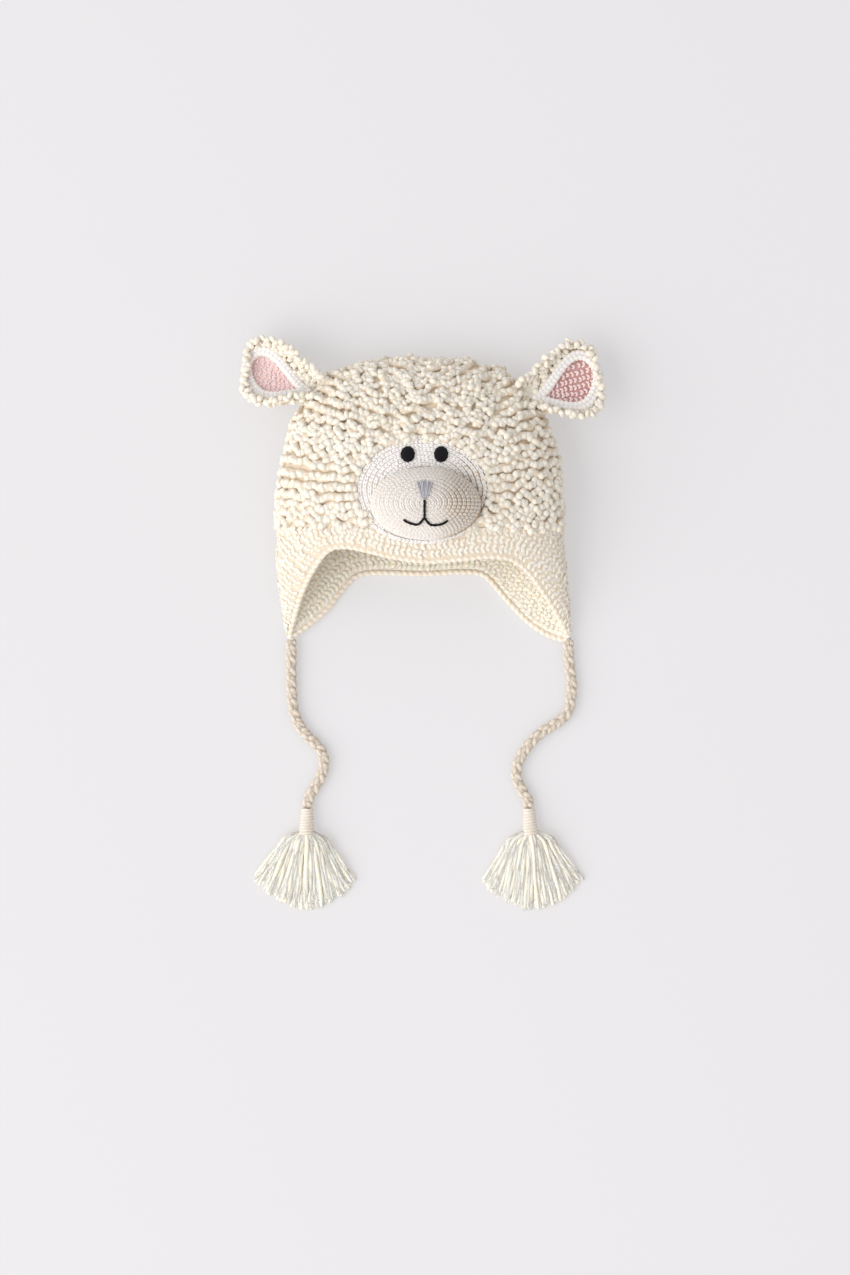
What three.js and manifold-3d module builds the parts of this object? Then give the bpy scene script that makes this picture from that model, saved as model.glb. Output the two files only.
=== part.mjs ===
// Baby's crocheted hat in the shape of a lamb's head, laid on its back with the face up.
// +Z is up out of the face, +Y points to the crown's top and +X to the right ear.
// The origin is on the surface, under the flat part of the crown's back. Sizes are millimetres.
import * as THREE from "three";
import { mergeVertices } from "three/addons/utils/BufferGeometryUtils.js";
import Module from "manifold-3d";

const wasm = await Module();
wasm.setup();

// The hat as a whole
const HAT_WIDTH = 185; // across the band, laid flat
const HAT_LOFT = 56; // from the surface up to the bare front, where the hat is fullest
const CROWN_DEPTH = 108; // from the band up to the bare top
const ORIGIN_UP = 38; // from the band up to the origin
const CROWN_WALL = 4; // looped fabric without its loops
const FLAP_DROP = 72; // from the top of the band down to the tips of the flaps
const BAND_WALL = 3.6;
const SEAM_GAP = 0.3; // between pieces that are sewn or crocheted together
const SEAT_GAP = 0.5; // between a flat piece and the curved one that it is sewn on
const EAR_SEAT_GAP = 0.95; // between the cupped ear and what lines it

// The rows of loops on the crown
const LOOP_HEIGHT = 4.4;
const LOOP_ROWS = 16;
const LOOP_WAVES = 18; // waves of a row round the crown
const LOOP_SWING = 1.7; // how far a row's crest waves up and down
const PRESSED_LOOPS = 2.4; // height of the loops that the hat lies on
const LOOP_VALLEY = 0.12; // height between two rows, as a share of the loops' height
const CREST_WAVER = 0.15; // how much a crest's height varies
const ROW_SHIFT = 1.7; // radians by which each row's waves are shifted from the one below

// The face
const FACE_WIDTH = 88;
const FACE_HEIGHT = 68;
const FACE_UP = 24; // middle of the face above the band
const FACE_RIGHT = 1.5; // middle of the face from the middle of the hat
const FACE_WALL = 2;
const MUZZLE_WIDTH = 71.5;
const MUZZLE_HEIGHT = 46;
const MUZZLE_RISE = 21;
const MUZZLE_DOWN = 9.5; // middle of the muzzle below the middle of the face
const MUZZLE_RIGHT = 2.4;
const MUZZLE_EDGE = 1; // height of the muzzle where it is sewn on
const MUZZLE_ROUND = 2.3; // 2 is a round dome, and more is flatter on top
const MUZZLE_STEEP = 0.6; // over 0.5, the dome's sides lean in more
const FEATURES_RIGHT = 1.3; // eyes, nose and mouth from the middle of the face
const EYE_WIDTH = 8.6;
const EYE_HEIGHT = 10.4;
const EYE_RISE = 1.8;
const EYE_SPACING = 21.4;
const EYE_UP = 22.6; // above the middle of the face
const NOSE_WIDTH = 11;
const NOSE_HEIGHT = 12.5;
const NOSE_RISE = 1.2;
const NOSE_UP = 8.3; // middle of the nose above the middle of the muzzle
const MOUTH_THREAD = 1.6;
const MOUTH_WIDTH = 28.5;
const MOUTH_DOWN = 9.2; // fork of the mouth below the middle of the muzzle
const LIP_SAG = 3; // how far each lip hangs below the fork

// The ears
const EAR_LENGTH = 54;
const EAR_WIDTH = 42;
const EAR_WALL = 5; // with the loops on its back
const EAR_CUP = 11; // how far the ear's edges stand above its middle
const EAR_BEND = 1.5; // radians through which each half of an ear bends up
const EAR_RIM_WIDTH = 4.2;
const EAR_RIM_HEIGHT = 3.2;
const LINING_WALL = 1.6;
const LINING_FROM = 0.24; // ends of the lining, as shares of the ear's length
const LINING_TO = 0.93;
const LINING_SPREAD = 0.39; // half width of the lining, as a share of the ear's half width

// The ties and tassels
const TIE_DIAMETER = 7;
const WRAP_LENGTH = 17;
const WRAP_TOP_DIAMETER = 8;
const WRAP_END_DIAMETER = 11;
const TASSEL_LENGTH = 52;
const TASSEL_WIDTH = 70;
const TASSEL_HEIGHT = 13;
const TASSEL_LOCKS = 9;
const LOCK_OVERLAP = 1.25; // width of a lock, as a share of its place in the fan
const OUTER_SHORTER = 0.13; // how much shorter the outermost locks reach
const LOCK_THICK = 0.62; // thickness of a lock at the head and at its end, as shares of the height
const LOCK_THIN = 0.42;

// Crown sections: share of the depth above the band, of the half width, and of the loft for the
// front face and for the underside
const CROWN_SECTIONS = [
  { up: 0, wide: 0.975, front: 0.965, under: 0.035 },
  { up: 0.15, wide: 0.97, front: 1, under: 0.035 },
  { up: 0.3, wide: 0.952, front: 1, under: 0.035 },
  { up: 0.45, wide: 0.92, front: 0.975, under: 0.035 },
  { up: 0.6, wide: 0.872, front: 0.915, under: 0.035 },
  { up: 0.73, wide: 0.808, front: 0.825, under: 0.045 },
  { up: 0.83, wide: 0.725, front: 0.73, under: 0.06 },
  { up: 0.91, wide: 0.6, front: 0.62, under: 0.09 },
  { up: 0.965, wide: 0.43, front: 0.51, under: 0.15 },
  { up: 0.993, wide: 0.2, front: 0.41, under: 0.23 },
  { up: 1, wide: 0, front: 0.32, under: 0.32 },
];

// Band and flap sections: share of the flaps' drop below the band's top, of the half width, of the
// loft for the front and the underside, and the lean to the right as a share of the width
const BAND_SECTIONS = [
  { down: 0, wide: 1, front: 0.965, under: 0, lean: 0 },
  { down: 0.28, wide: 1.018, front: 0.85, under: 0, lean: 0.004 },
  { down: 0.52, wide: 1.02, front: 0.65, under: 0, lean: 0.011 },
  { down: 0.76, wide: 1.012, front: 0.44, under: 0, lean: 0.022 },
  { down: 1, wide: 1, front: 0.22, under: 0, lean: 0.033 },
];

// The lower edge, from the right tip over the front to the left tip and back under the hat:
// degrees round the hat, and share of the flaps' drop
const EDGE = [
  { turn: 0, drop: 1 },
  { turn: 12, drop: 0.93 },
  { turn: 22, drop: 0.8 },
  { turn: 33, drop: 0.6 },
  { turn: 43, drop: 0.4 },
  { turn: 51, drop: 0.29 },
  { turn: 62, drop: 0.265 },
  { turn: 75, drop: 0.29 },
  { turn: 88, drop: 0.31 },
  { turn: 100, drop: 0.275 },
  { turn: 112, drop: 0.21 },
  { turn: 122, drop: 0.175 },
  { turn: 130, drop: 0.21 },
  { turn: 139, drop: 0.39 },
  { turn: 150, drop: 0.63 },
  { turn: 162, drop: 0.85 },
  { turn: 180, drop: 1 },
  { turn: 203, drop: 0.93 },
  { turn: 216, drop: 0.84 },
  { turn: 227, drop: 0.71 },
  { turn: 236, drop: 0.54 },
  { turn: 243, drop: 0.42 },
  { turn: 252, drop: 0.39 },
  { turn: 270, drop: 0.4 },
  { turn: 288, drop: 0.385 },
  { turn: 296, drop: 0.42 },
  { turn: 304, drop: 0.61 },
  { turn: 315, drop: 0.83 },
  { turn: 327, drop: 0.95 },
  { turn: 343, drop: 1 },
  { turn: 360, drop: 1 },
];

// Ear sections from its root to its outer end: share of the length, of the half width, and of the cup
const EAR_SECTIONS = [
  { along: 0, half: 0.34, cup: 0.75 },
  { along: 0.14, half: 0.42, cup: 0.8 },
  { along: 0.34, half: 0.68, cup: 0.95 },
  { along: 0.54, half: 0.9, cup: 1 },
  { along: 0.72, half: 1, cup: 0.95 },
  { along: 0.87, half: 0.9, cup: 0.8 },
  { along: 0.96, half: 0.66, cup: 0.6 },
];

// Each ear: share of the crown's rows, degrees round the hat, degrees that it points, droops and
// rolls, how far it is opened, as a share of its width, how much its outer end slants, and how far
// across the lining's narrow end lies
const EARS = [
  {
    side: "left", row: 0.56, turn: 160, heading: 164, droop: -13, roll: 14, open: 1,
    skew: -0.2, lean: 0.28,
  },
  {
    side: "right", row: 0.53, turn: 22, heading: 15, droop: -10, roll: -8, open: 1.15,
    skew: 0.08, lean: -0.28,
  },
];

// Each tie: its turn on the hat, and chosen points of its middle line measured from the flap's tip:
// to the right and down on the surface. It starts at the tip and comes down onto the surface.
const TIES = [
  {
    side: "left",
    turn: 180,
    route: [
      [0.1, 8], [0.1, 22.8], [0.5, 36], [2, 48], [6.6, 58.5], [11.5, 64.5], [16.2, 69],
      [20.2, 74.2], [21.6, 80.5], [20.6, 87.5], [17.5, 94.5], [13.8, 100.3], [11.2, 106], [10.8, 111],
    ],
  },
  {
    side: "right",
    turn: 354,
    route: [
      [0.4, 8], [1, 16], [2.5, 30.5], [1, 44.2], [-2, 50], [-7.2, 54.5], [-17.5, 61], [-23.4, 66.5],
      [-28.6, 73], [-32.8, 81.3], [-33.6, 90.4], [-29.6, 99.5], [-26.2, 105.5], [-25.6, 110.5],
    ],
  },
];

const SECTION_POWER = 2.35; // 2 is an ellipse, and more is squarer
const FLATTENED = 1.13; // over 1 makes the underside lie flat
const WIDEST = 0.38; // height of the widest line between the underside and the front
const WAVE_STEPS = 3;
const TURN_STEPS = LOOP_WAVES * WAVE_STEPS;
const CLEAR_OF_FLOOR = 0.3;
const NEAR_TOP = 0.985; // share of the crown's rows up to which its surface has a clear direction
const UNDERNEATH = [0.35, 0.9]; // how far down a surface faces where the loops start to be pressed flat

const radians = THREE.MathUtils.degToRad;
const lerp = THREE.MathUtils.lerp;
const bandY = -ORIGIN_UP;

const smoothCurve = (points) => new THREE.CatmullRomCurve3(points, false, "centripetal");

// Looks up one column of a table by another, smoothly
function readTable(rows, key, column, value) {
  const last = rows.length - 1;
  let i = 0;
  while (i < last - 1 && value > rows[i + 1][key]) i += 1;
  const at = (k) => rows[THREE.MathUtils.clamp(k, 0, last)];
  const span = at(i + 1)[key] - at(i)[key];
  const t = THREE.MathUtils.clamp((value - at(i)[key]) / span, 0, 1);
  const slope = (k) => {
    const reach = at(k + 1)[key] - at(k - 1)[key];
    return (at(k + 1)[column] - at(k - 1)[column]) / reach;
  };
  const a = at(i)[column];
  const b = at(i + 1)[column];
  const t2 = t * t;
  const t3 = t2 * t;
  const bend = (t3 - 2 * t2 + t) * slope(i) + (t3 - t2) * slope(i + 1);
  return (2 * t3 - 3 * t2 + 1) * a + (3 * t2 - 2 * t3) * b + bend * span;
}

// The crown's profile, with its front and its underside
const crownCurve = (column) =>
  smoothCurve(
    CROWN_SECTIONS.map(
      (s) => new THREE.Vector3(s.up * CROWN_DEPTH, (s.wide * HAT_WIDTH) / 2, s[column] * HAT_LOFT),
    ),
  );
const crownFront = crownCurve("front");
const crownUnder = crownCurve("under");

// The crown's section at a share of the way from the band, 0, to the top, 1
function crownSection(row) {
  const t = crownFront.getUtoTmapping(row);
  const front = crownFront.getPoint(t);
  return {
    y: bandY + front.x,
    middle: 0,
    half: front.y,
    front: front.z,
    under: crownUnder.getPoint(t).z,
  };
}

// The section of the band and flaps at a distance below the band's top
function bandSection(drop) {
  const read = (column) => readTable(BAND_SECTIONS, "down", column, drop / FLAP_DROP);
  return {
    y: bandY - drop,
    middle: read("lean") * HAT_WIDTH,
    half: (read("wide") * HAT_WIDTH) / 2,
    front: read("front") * HAT_LOFT,
    under: read("under") * HAT_LOFT,
  };
}

// A point of a section, by the angle round the hat: 0 at the right, 90 degrees at the front
function onSection(section, turn) {
  const across = Math.cos(turn);
  const arch = (1 - Math.abs(across) ** SECTION_POWER) ** (1 / SECTION_POWER);
  const widest = lerp(section.under, section.front, WIDEST);
  const z =
    Math.sin(turn) >= 0
      ? lerp(widest, section.front, arch)
      : lerp(widest, section.under, Math.min(1, FLATTENED * arch));
  return new THREE.Vector3(section.middle + section.half * across, section.y, z);
}

// Outward normal of a surface given as a function of how far down and how far round
function normalOf(surface, down, turn, step) {
  const along = surface(down + step, turn).sub(surface(down - step, turn));
  const round = surface(down, turn + 0.02).sub(surface(down, turn - 0.02));
  return round.cross(along).normalize();
}

const crownSurface = (row, turn) => onSection(crownSection(THREE.MathUtils.clamp(row, 0, 1)), turn);
const bandSurface = (drop, turn) => onSection(bandSection(drop), turn);
const crownNormal = (row, turn) => normalOf(crownSurface, Math.min(row, NEAR_TOP), turn, -0.01);
const bandNormal = (drop, turn) => normalOf(bandSurface, drop, turn, 0.5);

// Height of the bare front over a point of the plan
function frontHeight(x, y) {
  const crownShare = THREE.MathUtils.clamp((y - bandY) / CROWN_DEPTH, 0, 1);
  let section = bandSection(Math.max(0, bandY - y));
  if (y > bandY) {
    const read = (column) => readTable(CROWN_SECTIONS, "up", column, crownShare);
    section = {
      middle: 0,
      half: (read("wide") * HAT_WIDTH) / 2,
      front: read("front") * HAT_LOFT,
      under: read("under") * HAT_LOFT,
    };
  }
  const across = Math.min(1, Math.abs(x - section.middle) / section.half);
  const arch = (1 - across ** SECTION_POWER) ** (1 / SECTION_POWER);
  return lerp(lerp(section.under, section.front, WIDEST), section.front, arch);
}

function clearOfFloor(point) {
  point.z = Math.max(0, point.z);
  return point;
}

// The volume inside a mesh, which is negative where its faces point inwards
function signedVolume(points, index) {
  let volume = 0;
  for (let i = 0; i < index.length; i += 3) {
    const [a, b, c] = [points[index[i]], points[index[i + 1]], points[index[i + 2]]];
    volume += a.dot(b.clone().cross(c)) / 6;
  }
  return volume;
}

// A closed mesh through loops of points. A pole closes an end, and without poles the last loop
// joins the first.
function loft(loops, poles = []) {
  const sides = loops[0].length;
  const points = loops.flat();
  const index = [];
  const bands = poles.length ? loops.length - 1 : loops.length;
  for (let i = 0; i < bands; i += 1) {
    const next = (i + 1) % loops.length;
    for (let j = 0; j < sides; j += 1) {
      const k = (j + 1) % sides;
      const [a, b, c, d] = [i * sides + j, i * sides + k, next * sides + j, next * sides + k];
      index.push(a, c, b, b, c, d);
    }
  }
  poles.forEach((pole, end) => {
    const first = end ? (loops.length - 1) * sides : 0;
    const middle = points.push(pole) - 1;
    for (let j = 0; j < sides; j += 1) {
      const k = (j + 1) % sides;
      const edge = end ? [first + k, first + j] : [first + j, first + k];
      index.push(middle, ...edge);
    }
  });
  if (signedVolume(points, index) < 0) index.reverse();
  const geometry = new THREE.BufferGeometry().setFromPoints(points);
  geometry.setIndex(index);
  return geometry;
}

function toSolid(geometry) {
  const bare = new THREE.BufferGeometry();
  bare.setAttribute("position", geometry.getAttribute("position").clone());
  if (geometry.index) bare.setIndex(geometry.index.clone());
  const merged = mergeVertices(bare, 1e-4);
  const mesh = new wasm.Mesh({
    numProp: 3,
    vertProperties: new Float32Array(merged.attributes.position.array),
    triVerts: new Uint32Array(merged.index.array),
  });
  return new wasm.Manifold(mesh);
}

function toGeometry(solid) {
  const mesh = solid.getMesh();
  const geometry = new THREE.BufferGeometry();
  geometry.setAttribute("position", new THREE.BufferAttribute(mesh.vertProperties, 3));
  geometry.setIndex(new THREE.BufferAttribute(mesh.triVerts, 1));
  return geometry;
}

// Keeps the main piece of a solid that a cut has left in several
function mainPiece(solid) {
  return solid.decompose().reduce((a, b) => (b.volume() > a.volume() ? b : a));
}

const turns = Array.from({ length: TURN_STEPS }, (_, j) => (j / TURN_STEPS) * 2 * Math.PI);

// How much the loops stand up at a place: all over the crown, and pressed flat under it
function loopLift(normal, height) {
  const underneath = THREE.MathUtils.smoothstep(-normal.z, ...UNDERNEATH);
  return lerp(height, PRESSED_LOOPS, underneath);
}

// The crown's outside. Two loops of points make each row: a valley and a waving crest.
function crownOutside(grow) {
  const loops = [];
  const steps = LOOP_ROWS * 2;
  for (let i = steps - 1; i >= 0; i -= 1) {
    const crest = i % 2 === 1;
    const phase = i * ROW_SHIFT;
    loops.push(
      turns.map((turn, j) => {
        const wave = Math.sin((j / WAVE_STEPS) * 2 * Math.PI + phase);
        const swing = crest ? (wave * LOOP_SWING) / CROWN_DEPTH : 0;
        const row = Math.min(NEAR_TOP, i / steps + swing);
        const normal = crownNormal(row, turn);
        const height = LOOP_HEIGHT * (crest ? 1 + CREST_WAVER * wave : LOOP_VALLEY);
        const point = crownSurface(row, turn);
        point.addScaledVector(normal, loopLift(normal, height) + grow);
        if (i === 0) point.y = bandY + SEAM_GAP / 2 - grow;
        return clearOfFloor(point);
      }),
    );
  }
  const top = crownSurface(1, 0);
  top.y += LOOP_HEIGHT * 0.8 + grow;
  return { loops, top };
}

function crownInside() {
  const rows = [0, 0.2, 0.38, 0.56, 0.74, 0.9];
  const loops = rows.map((row) =>
    turns.map((turn) => {
      const point = crownSurface(row, turn);
      point.addScaledVector(crownNormal(row, turn), -CROWN_WALL);
      if (row === 0) point.y = bandY + SEAM_GAP / 2;
      return point;
    }),
  );
  const top = crownSurface(1, 0);
  top.y -= CROWN_WALL;
  return { loops, top };
}

// A pad over a patch of the plan: its top and underside are heights over the plan, by the share
// of the way out from its middle
function pad(middle, halfWidth, halfHeight, rings, sides, under, over) {
  const loop = (share, height) =>
    Array.from({ length: sides }, (_, j) => {
      const angle = (j / sides) * 2 * Math.PI;
      const x = middle.x + share * halfWidth * Math.cos(angle);
      const y = middle.y + share * halfHeight * Math.sin(angle);
      return new THREE.Vector3(x, y, height(x, y, share));
    });
  const shares = Array.from({ length: rings }, (_, i) => Math.sin(((i + 1) / rings) * (Math.PI / 2)));
  const upper = shares.map((share) => loop(share, over));
  const lower = shares.toReversed().map((share) => loop(share, under));
  const pole = (height) => new THREE.Vector3(middle.x, middle.y, height(middle.x, middle.y, 0));
  return loft([...upper, ...lower], [pole(over), pole(under)]);
}

const faceMiddle = new THREE.Vector2(FACE_RIGHT, bandY + FACE_UP);
const muzzleMiddle = new THREE.Vector2(faceMiddle.x + MUZZLE_RIGHT, faceMiddle.y - MUZZLE_DOWN);
const featuresX = faceMiddle.x + FEATURES_RIGHT;

const faceTop = (x, y) => frontHeight(x, y) + SEAT_GAP + FACE_WALL;

function facePad(grow, under, over) {
  return pad(faceMiddle, FACE_WIDTH / 2 + grow, FACE_HEIGHT / 2 + grow, 3, 32, under, over);
}

// Height of the muzzle's outside over the plan
function muzzleTop(x, y) {
  const across = (x - muzzleMiddle.x) / (MUZZLE_WIDTH / 2);
  const along = (y - muzzleMiddle.y) / (MUZZLE_HEIGHT / 2);
  const share = Math.min(1, Math.hypot(across, along));
  const dome = (1 - share ** MUZZLE_ROUND) ** MUZZLE_STEEP;
  return faceTop(x, y) + SEAT_GAP + MUZZLE_EDGE + MUZZLE_RISE * dome;
}

function muzzlePad() {
  const under = (x, y) => faceTop(x, y) + SEAT_GAP;
  return pad(muzzleMiddle, MUZZLE_WIDTH / 2, MUZZLE_HEIGHT / 2, 5, 28, under, muzzleTop);
}

function crownSolid() {
  const outside = crownOutside(0);
  const inside = crownInside();
  const bare = toSolid(loft([...outside.loops, ...inside.loops], [outside.top, inside.top]));
  // The loops stop round the face, so that it lies on the bare wall
  const room = facePad(
    SEAM_GAP,
    (x, y) => frontHeight(x, y) + 0.4 * SEAT_GAP,
    (x, y) => frontHeight(x, y) + 3 * LOOP_HEIGHT,
  );
  return mainPiece(bare.subtract(toSolid(room)));
}

function brimSolid() {
  const drops = turns.map((turn) => {
    const degrees = THREE.MathUtils.radToDeg(turn);
    return readTable(EDGE, "turn", "drop", degrees) * FLAP_DROP;
  });
  const face = (share, inset) =>
    turns.map((turn, j) => {
      const drop = lerp(SEAM_GAP / 2, drops[j], share);
      const point = bandSurface(drop, turn);
      point.addScaledVector(bandNormal(drop, turn), -inset);
      point.y = bandY - drop;
      return clearOfFloor(point);
    });
  const shares = [0, 0.35, 0.7, 0.94];
  const outside = shares.map((share) => face(share, 0));
  const edge = face(1, BAND_WALL / 2);
  const inside = shares.toReversed().map((share) => face(share, BAND_WALL));
  return toSolid(loft([...outside, edge, ...inside]));
}

// The place and axes of an ear: along it, across it and out of its cup
function earFrame(ear) {
  const turn = radians(ear.turn);
  const root = crownSurface(ear.row, turn);
  const along = new THREE.Vector3(
    Math.cos(radians(ear.heading)) * Math.cos(radians(ear.droop)),
    Math.sin(radians(ear.heading)) * Math.cos(radians(ear.droop)),
    Math.sin(radians(ear.droop)),
  );
  const up = new THREE.Vector3(0, 0, 1).addScaledVector(along, -along.z).normalize();
  up.applyAxisAngle(along, radians(ear.roll));
  return { ...ear, root, along, across: up.clone().cross(along), up };
}

// A point of an ear's hollow face: share along, share across from -1 to 1, and height above it
function onEar(frame, along, across, height) {
  const read = (column) => readTable(EAR_SECTIONS, "along", column, along);
  const half = (read("half") * frame.open * EAR_WIDTH) / 2;
  const cup = (read("cup") * EAR_CUP) / frame.open ** 2;
  const side = (half * Math.sin(EAR_BEND * across)) / Math.sin(EAR_BEND);
  const point = frame.root.clone();
  const flare = (height * Math.abs(across)) / 6;
  point.addScaledVector(frame.along, along * (EAR_LENGTH + frame.skew * side) - flare);
  point.addScaledVector(frame.across, side);
  point.addScaledVector(frame.up, cup * across * across + height);
  return point;
}

const EAR_ACROSS = [-1, -0.8, -0.5, -0.17, 0.17, 0.5, 0.8, 1];

function earSolid(ear, crown) {
  const frame = earFrame(ear);
  const stations = [-0.06, 0.06, 0.2, 0.34, 0.48, 0.62, 0.75, 0.87, 0.96];
  const [wide, narrow] = [1.06, 0.98];
  const loops = stations.map((along, i) => {
    const scallop = i % 2 ? wide : narrow;
    const front = EAR_ACROSS.map((u) => onEar(frame, along, u * scallop, 0));
    const back = EAR_ACROSS.toReversed().map((u) => onEar(frame, along, u * scallop, -EAR_WALL));
    return [...front, ...back];
  });
  const pole = (along) => onEar(frame, along, 0, -EAR_WALL / 2);
  const whole = toSolid(loft(loops, [pole(-0.06), pole(1)]));
  return mainPiece(whole.subtract(crown));
}

// The outline of an ear's lining, by the angle round it: share along and share across. It is a drop
// with its point towards the head, and it can be grown by a length.
function liningOutline(frame, angle, size, grow) {
  const out = (1 - Math.cos(angle)) / 2;
  const middle = (LINING_FROM + LINING_TO) / 2;
  const reach = (size * (LINING_TO - LINING_FROM)) / 2 + grow / EAR_LENGTH;
  const spread = size * LINING_SPREAD + grow / ((EAR_WIDTH / 2) * EAR_BEND);
  const widest = 0.77; // the largest value that the two sines reach together
  const drop = (Math.sin(angle) * Math.sin(angle / 2)) / widest;
  const along = middle - reach * Math.cos(angle);
  return [along, frame.lean * (1 - 1.4 * out) + spread * drop];
}

const LINING_SIDES = 20;

function earLiningSolid(ear, crown) {
  const frame = earFrame(ear);
  const loop = (size, height) =>
    Array.from({ length: LINING_SIDES }, (_, j) => {
      const angle = (j / LINING_SIDES) * 2 * Math.PI;
      return onEar(frame, ...liningOutline(frame, angle, size, 0), height);
    });
  const pole = (height) => onEar(frame, ...liningOutline(frame, Math.PI / 2, 0, 0), height);
  const top = EAR_SEAT_GAP + LINING_WALL;
  const loops = [loop(0.5, top), loop(1, top), loop(1, EAR_SEAT_GAP), loop(0.5, EAR_SEAT_GAP)];
  return mainPiece(toSolid(loft(loops, [pole(top), pole(EAR_SEAT_GAP)])).subtract(crown));
}

function earRimSolid(ear, crown) {
  const frame = earFrame(ear);
  const sides = 6;
  const middle = 2 * SEAM_GAP + EAR_RIM_WIDTH / 2;
  const loops = Array.from({ length: LINING_SIDES }, (_, j) => {
    const angle = (j / LINING_SIDES) * 2 * Math.PI;
    return Array.from({ length: sides }, (_unused, k) => {
      const round = (-k / sides) * 2 * Math.PI;
      const grow = middle + (EAR_RIM_WIDTH / 2) * Math.cos(round);
      const height = EAR_SEAT_GAP + EAR_RIM_HEIGHT * (0.5 + 0.5 * Math.sin(round));
      return onEar(frame, ...liningOutline(frame, angle, 1, grow), height);
    });
  });
  return mainPiece(toSolid(loft(loops)).subtract(crown));
}

function circle(diameter, sides) {
  const shape = new THREE.Shape();
  for (let i = 0; i < sides; i += 1) {
    const angle = (i / sides) * 2 * Math.PI;
    const [x, y] = [(Math.cos(angle) * diameter) / 2, (Math.sin(angle) * diameter) / 2];
    if (i) shape.lineTo(x, y);
    else shape.moveTo(x, y);
  }
  shape.closePath();
  return shape;
}

function tube(extrudePath, diameter, sides, steps) {
  return new THREE.ExtrudeGeometry(circle(diameter, sides), { steps, extrudePath });
}

function eyeGeometry(side) {
  const middle = new THREE.Vector2(featuresX + (side * EYE_SPACING) / 2, faceMiddle.y + EYE_UP);
  const under = (x, y) => faceTop(x, y) + SEAT_GAP;
  const over = (x, y, share) => under(x, y) + 0.4 + EYE_RISE * (1 - share ** 2.5);
  return pad(middle, EYE_WIDTH / 2, EYE_HEIGHT / 2, 3, 12, under, over);
}

// A rounded triangle, wide above and narrow below
function noseGeometry() {
  const middle = new THREE.Vector2(featuresX, muzzleMiddle.y + NOSE_UP);
  const narrow = 0.42;
  const sides = 16;
  const place = (share, angle, height) => {
    const square = (v) => Math.sign(v) * Math.abs(v) ** 0.6;
    const down = square(Math.sin(angle));
    const width = lerp(narrow, 1, (1 + down * share) / 2);
    const x = middle.x + (share * width * square(Math.cos(angle)) * NOSE_WIDTH) / 2;
    const y = middle.y + (share * down * NOSE_HEIGHT) / 2;
    return new THREE.Vector3(x, y, muzzleTop(x, y) + SEAT_GAP + height);
  };
  const loop = (share, height) =>
    Array.from({ length: sides }, (_, j) => place(share, (j / sides) * 2 * Math.PI, height));
  const loops = [loop(0.55, NOSE_RISE), loop(0.92, NOSE_RISE * 0.8), loop(1, NOSE_RISE * 0.4)];
  return loft([...loops, loop(1, 0), loop(0.55, 0)], [place(0, 0, NOSE_RISE), place(0, 0, 0)]);
}

function mouthSolid() {
  const fork = new THREE.Vector2(featuresX, muzzleMiddle.y - MOUTH_DOWN);
  const noseEnd = muzzleMiddle.y + NOSE_UP - NOSE_HEIGHT / 2;
  const onMuzzle = (x, y) =>
    new THREE.Vector3(x, y, muzzleTop(x, y) + SEAT_GAP + MOUTH_THREAD / 2);
  const stem = [];
  const stemTop = noseEnd - SEAM_GAP - MOUTH_THREAD / 2;
  for (let i = 0; i <= 4; i += 1) stem.push(onMuzzle(fork.x, lerp(stemTop, fork.y, i / 4)));
  const lip = [];
  for (let i = -8; i <= 8; i += 1) {
    const share = i / 8;
    const sag = LIP_SAG * Math.sin(Math.abs(share) ** 0.85 * Math.PI * 0.83);
    lip.push(onMuzzle(fork.x + (share * MOUTH_WIDTH) / 2, fork.y - sag));
  }
  const thread = (points, steps) => toSolid(tube(smoothCurve(points), MOUTH_THREAD, 6, steps));
  return thread(stem, 4).add(thread(lip, 16));
}

// The tip of a flap, where a tie leaves it
function tipOf(tie) {
  const turn = radians(tie.turn);
  const drop = readTable(EDGE, "turn", "drop", tie.turn) * FLAP_DROP;
  const tip = bandSurface(drop, turn);
  tip.addScaledVector(bandNormal(drop, turn), -BAND_WALL / 2);
  return tip;
}

function tiePoints(tie) {
  const tip = tipOf(tie);
  const lying = TIE_DIAMETER / 2 + CLEAR_OF_FLOOR;
  const start = tip.clone();
  start.y -= SEAM_GAP;
  start.z = Math.max(lying, start.z);
  const routed = tie.route.map(
    ([right, down], i) =>
      new THREE.Vector3(tip.x + right, tip.y - down, i ? lying : lerp(lying, start.z, 0.5)),
  );
  return [start, ...routed];
}

const tieCurve = (tie) => smoothCurve(tiePoints(tie));

// The wrapped neck at a tie's end: a slim cone lying on the surface
function wrapFrame(tie) {
  const curve = tieCurve(tie);
  const along = curve.getTangent(1);
  return { end: curve.getPoint(1), along, across: new THREE.Vector3(-along.y, along.x, 0) };
}

function wrapGeometry(tie) {
  const { end, along, across } = wrapFrame(tie);
  const sides = 12;
  const loop = (far, diameter) =>
    Array.from({ length: sides }, (_, j) => {
      const angle = (j / sides) * 2 * Math.PI;
      const point = end.clone().addScaledVector(along, far);
      point.addScaledVector(across, (Math.cos(angle) * diameter) / 2);
      point.z = CLEAR_OF_FLOOR + (diameter / 2) * (1 + Math.sin(angle));
      return point;
    });
  const [near, far] = [SEAM_GAP, SEAM_GAP + WRAP_LENGTH];
  const loops = [loop(near, WRAP_TOP_DIAMETER), loop(far, WRAP_END_DIAMETER)];
  const pole = (at, diameter) => {
    const point = end.clone().addScaledVector(along, at);
    point.z = CLEAR_OF_FLOOR + diameter / 2;
    return point;
  };
  return loft(loops, [pole(near, WRAP_TOP_DIAMETER), pole(far, WRAP_END_DIAMETER)]);
}

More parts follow.
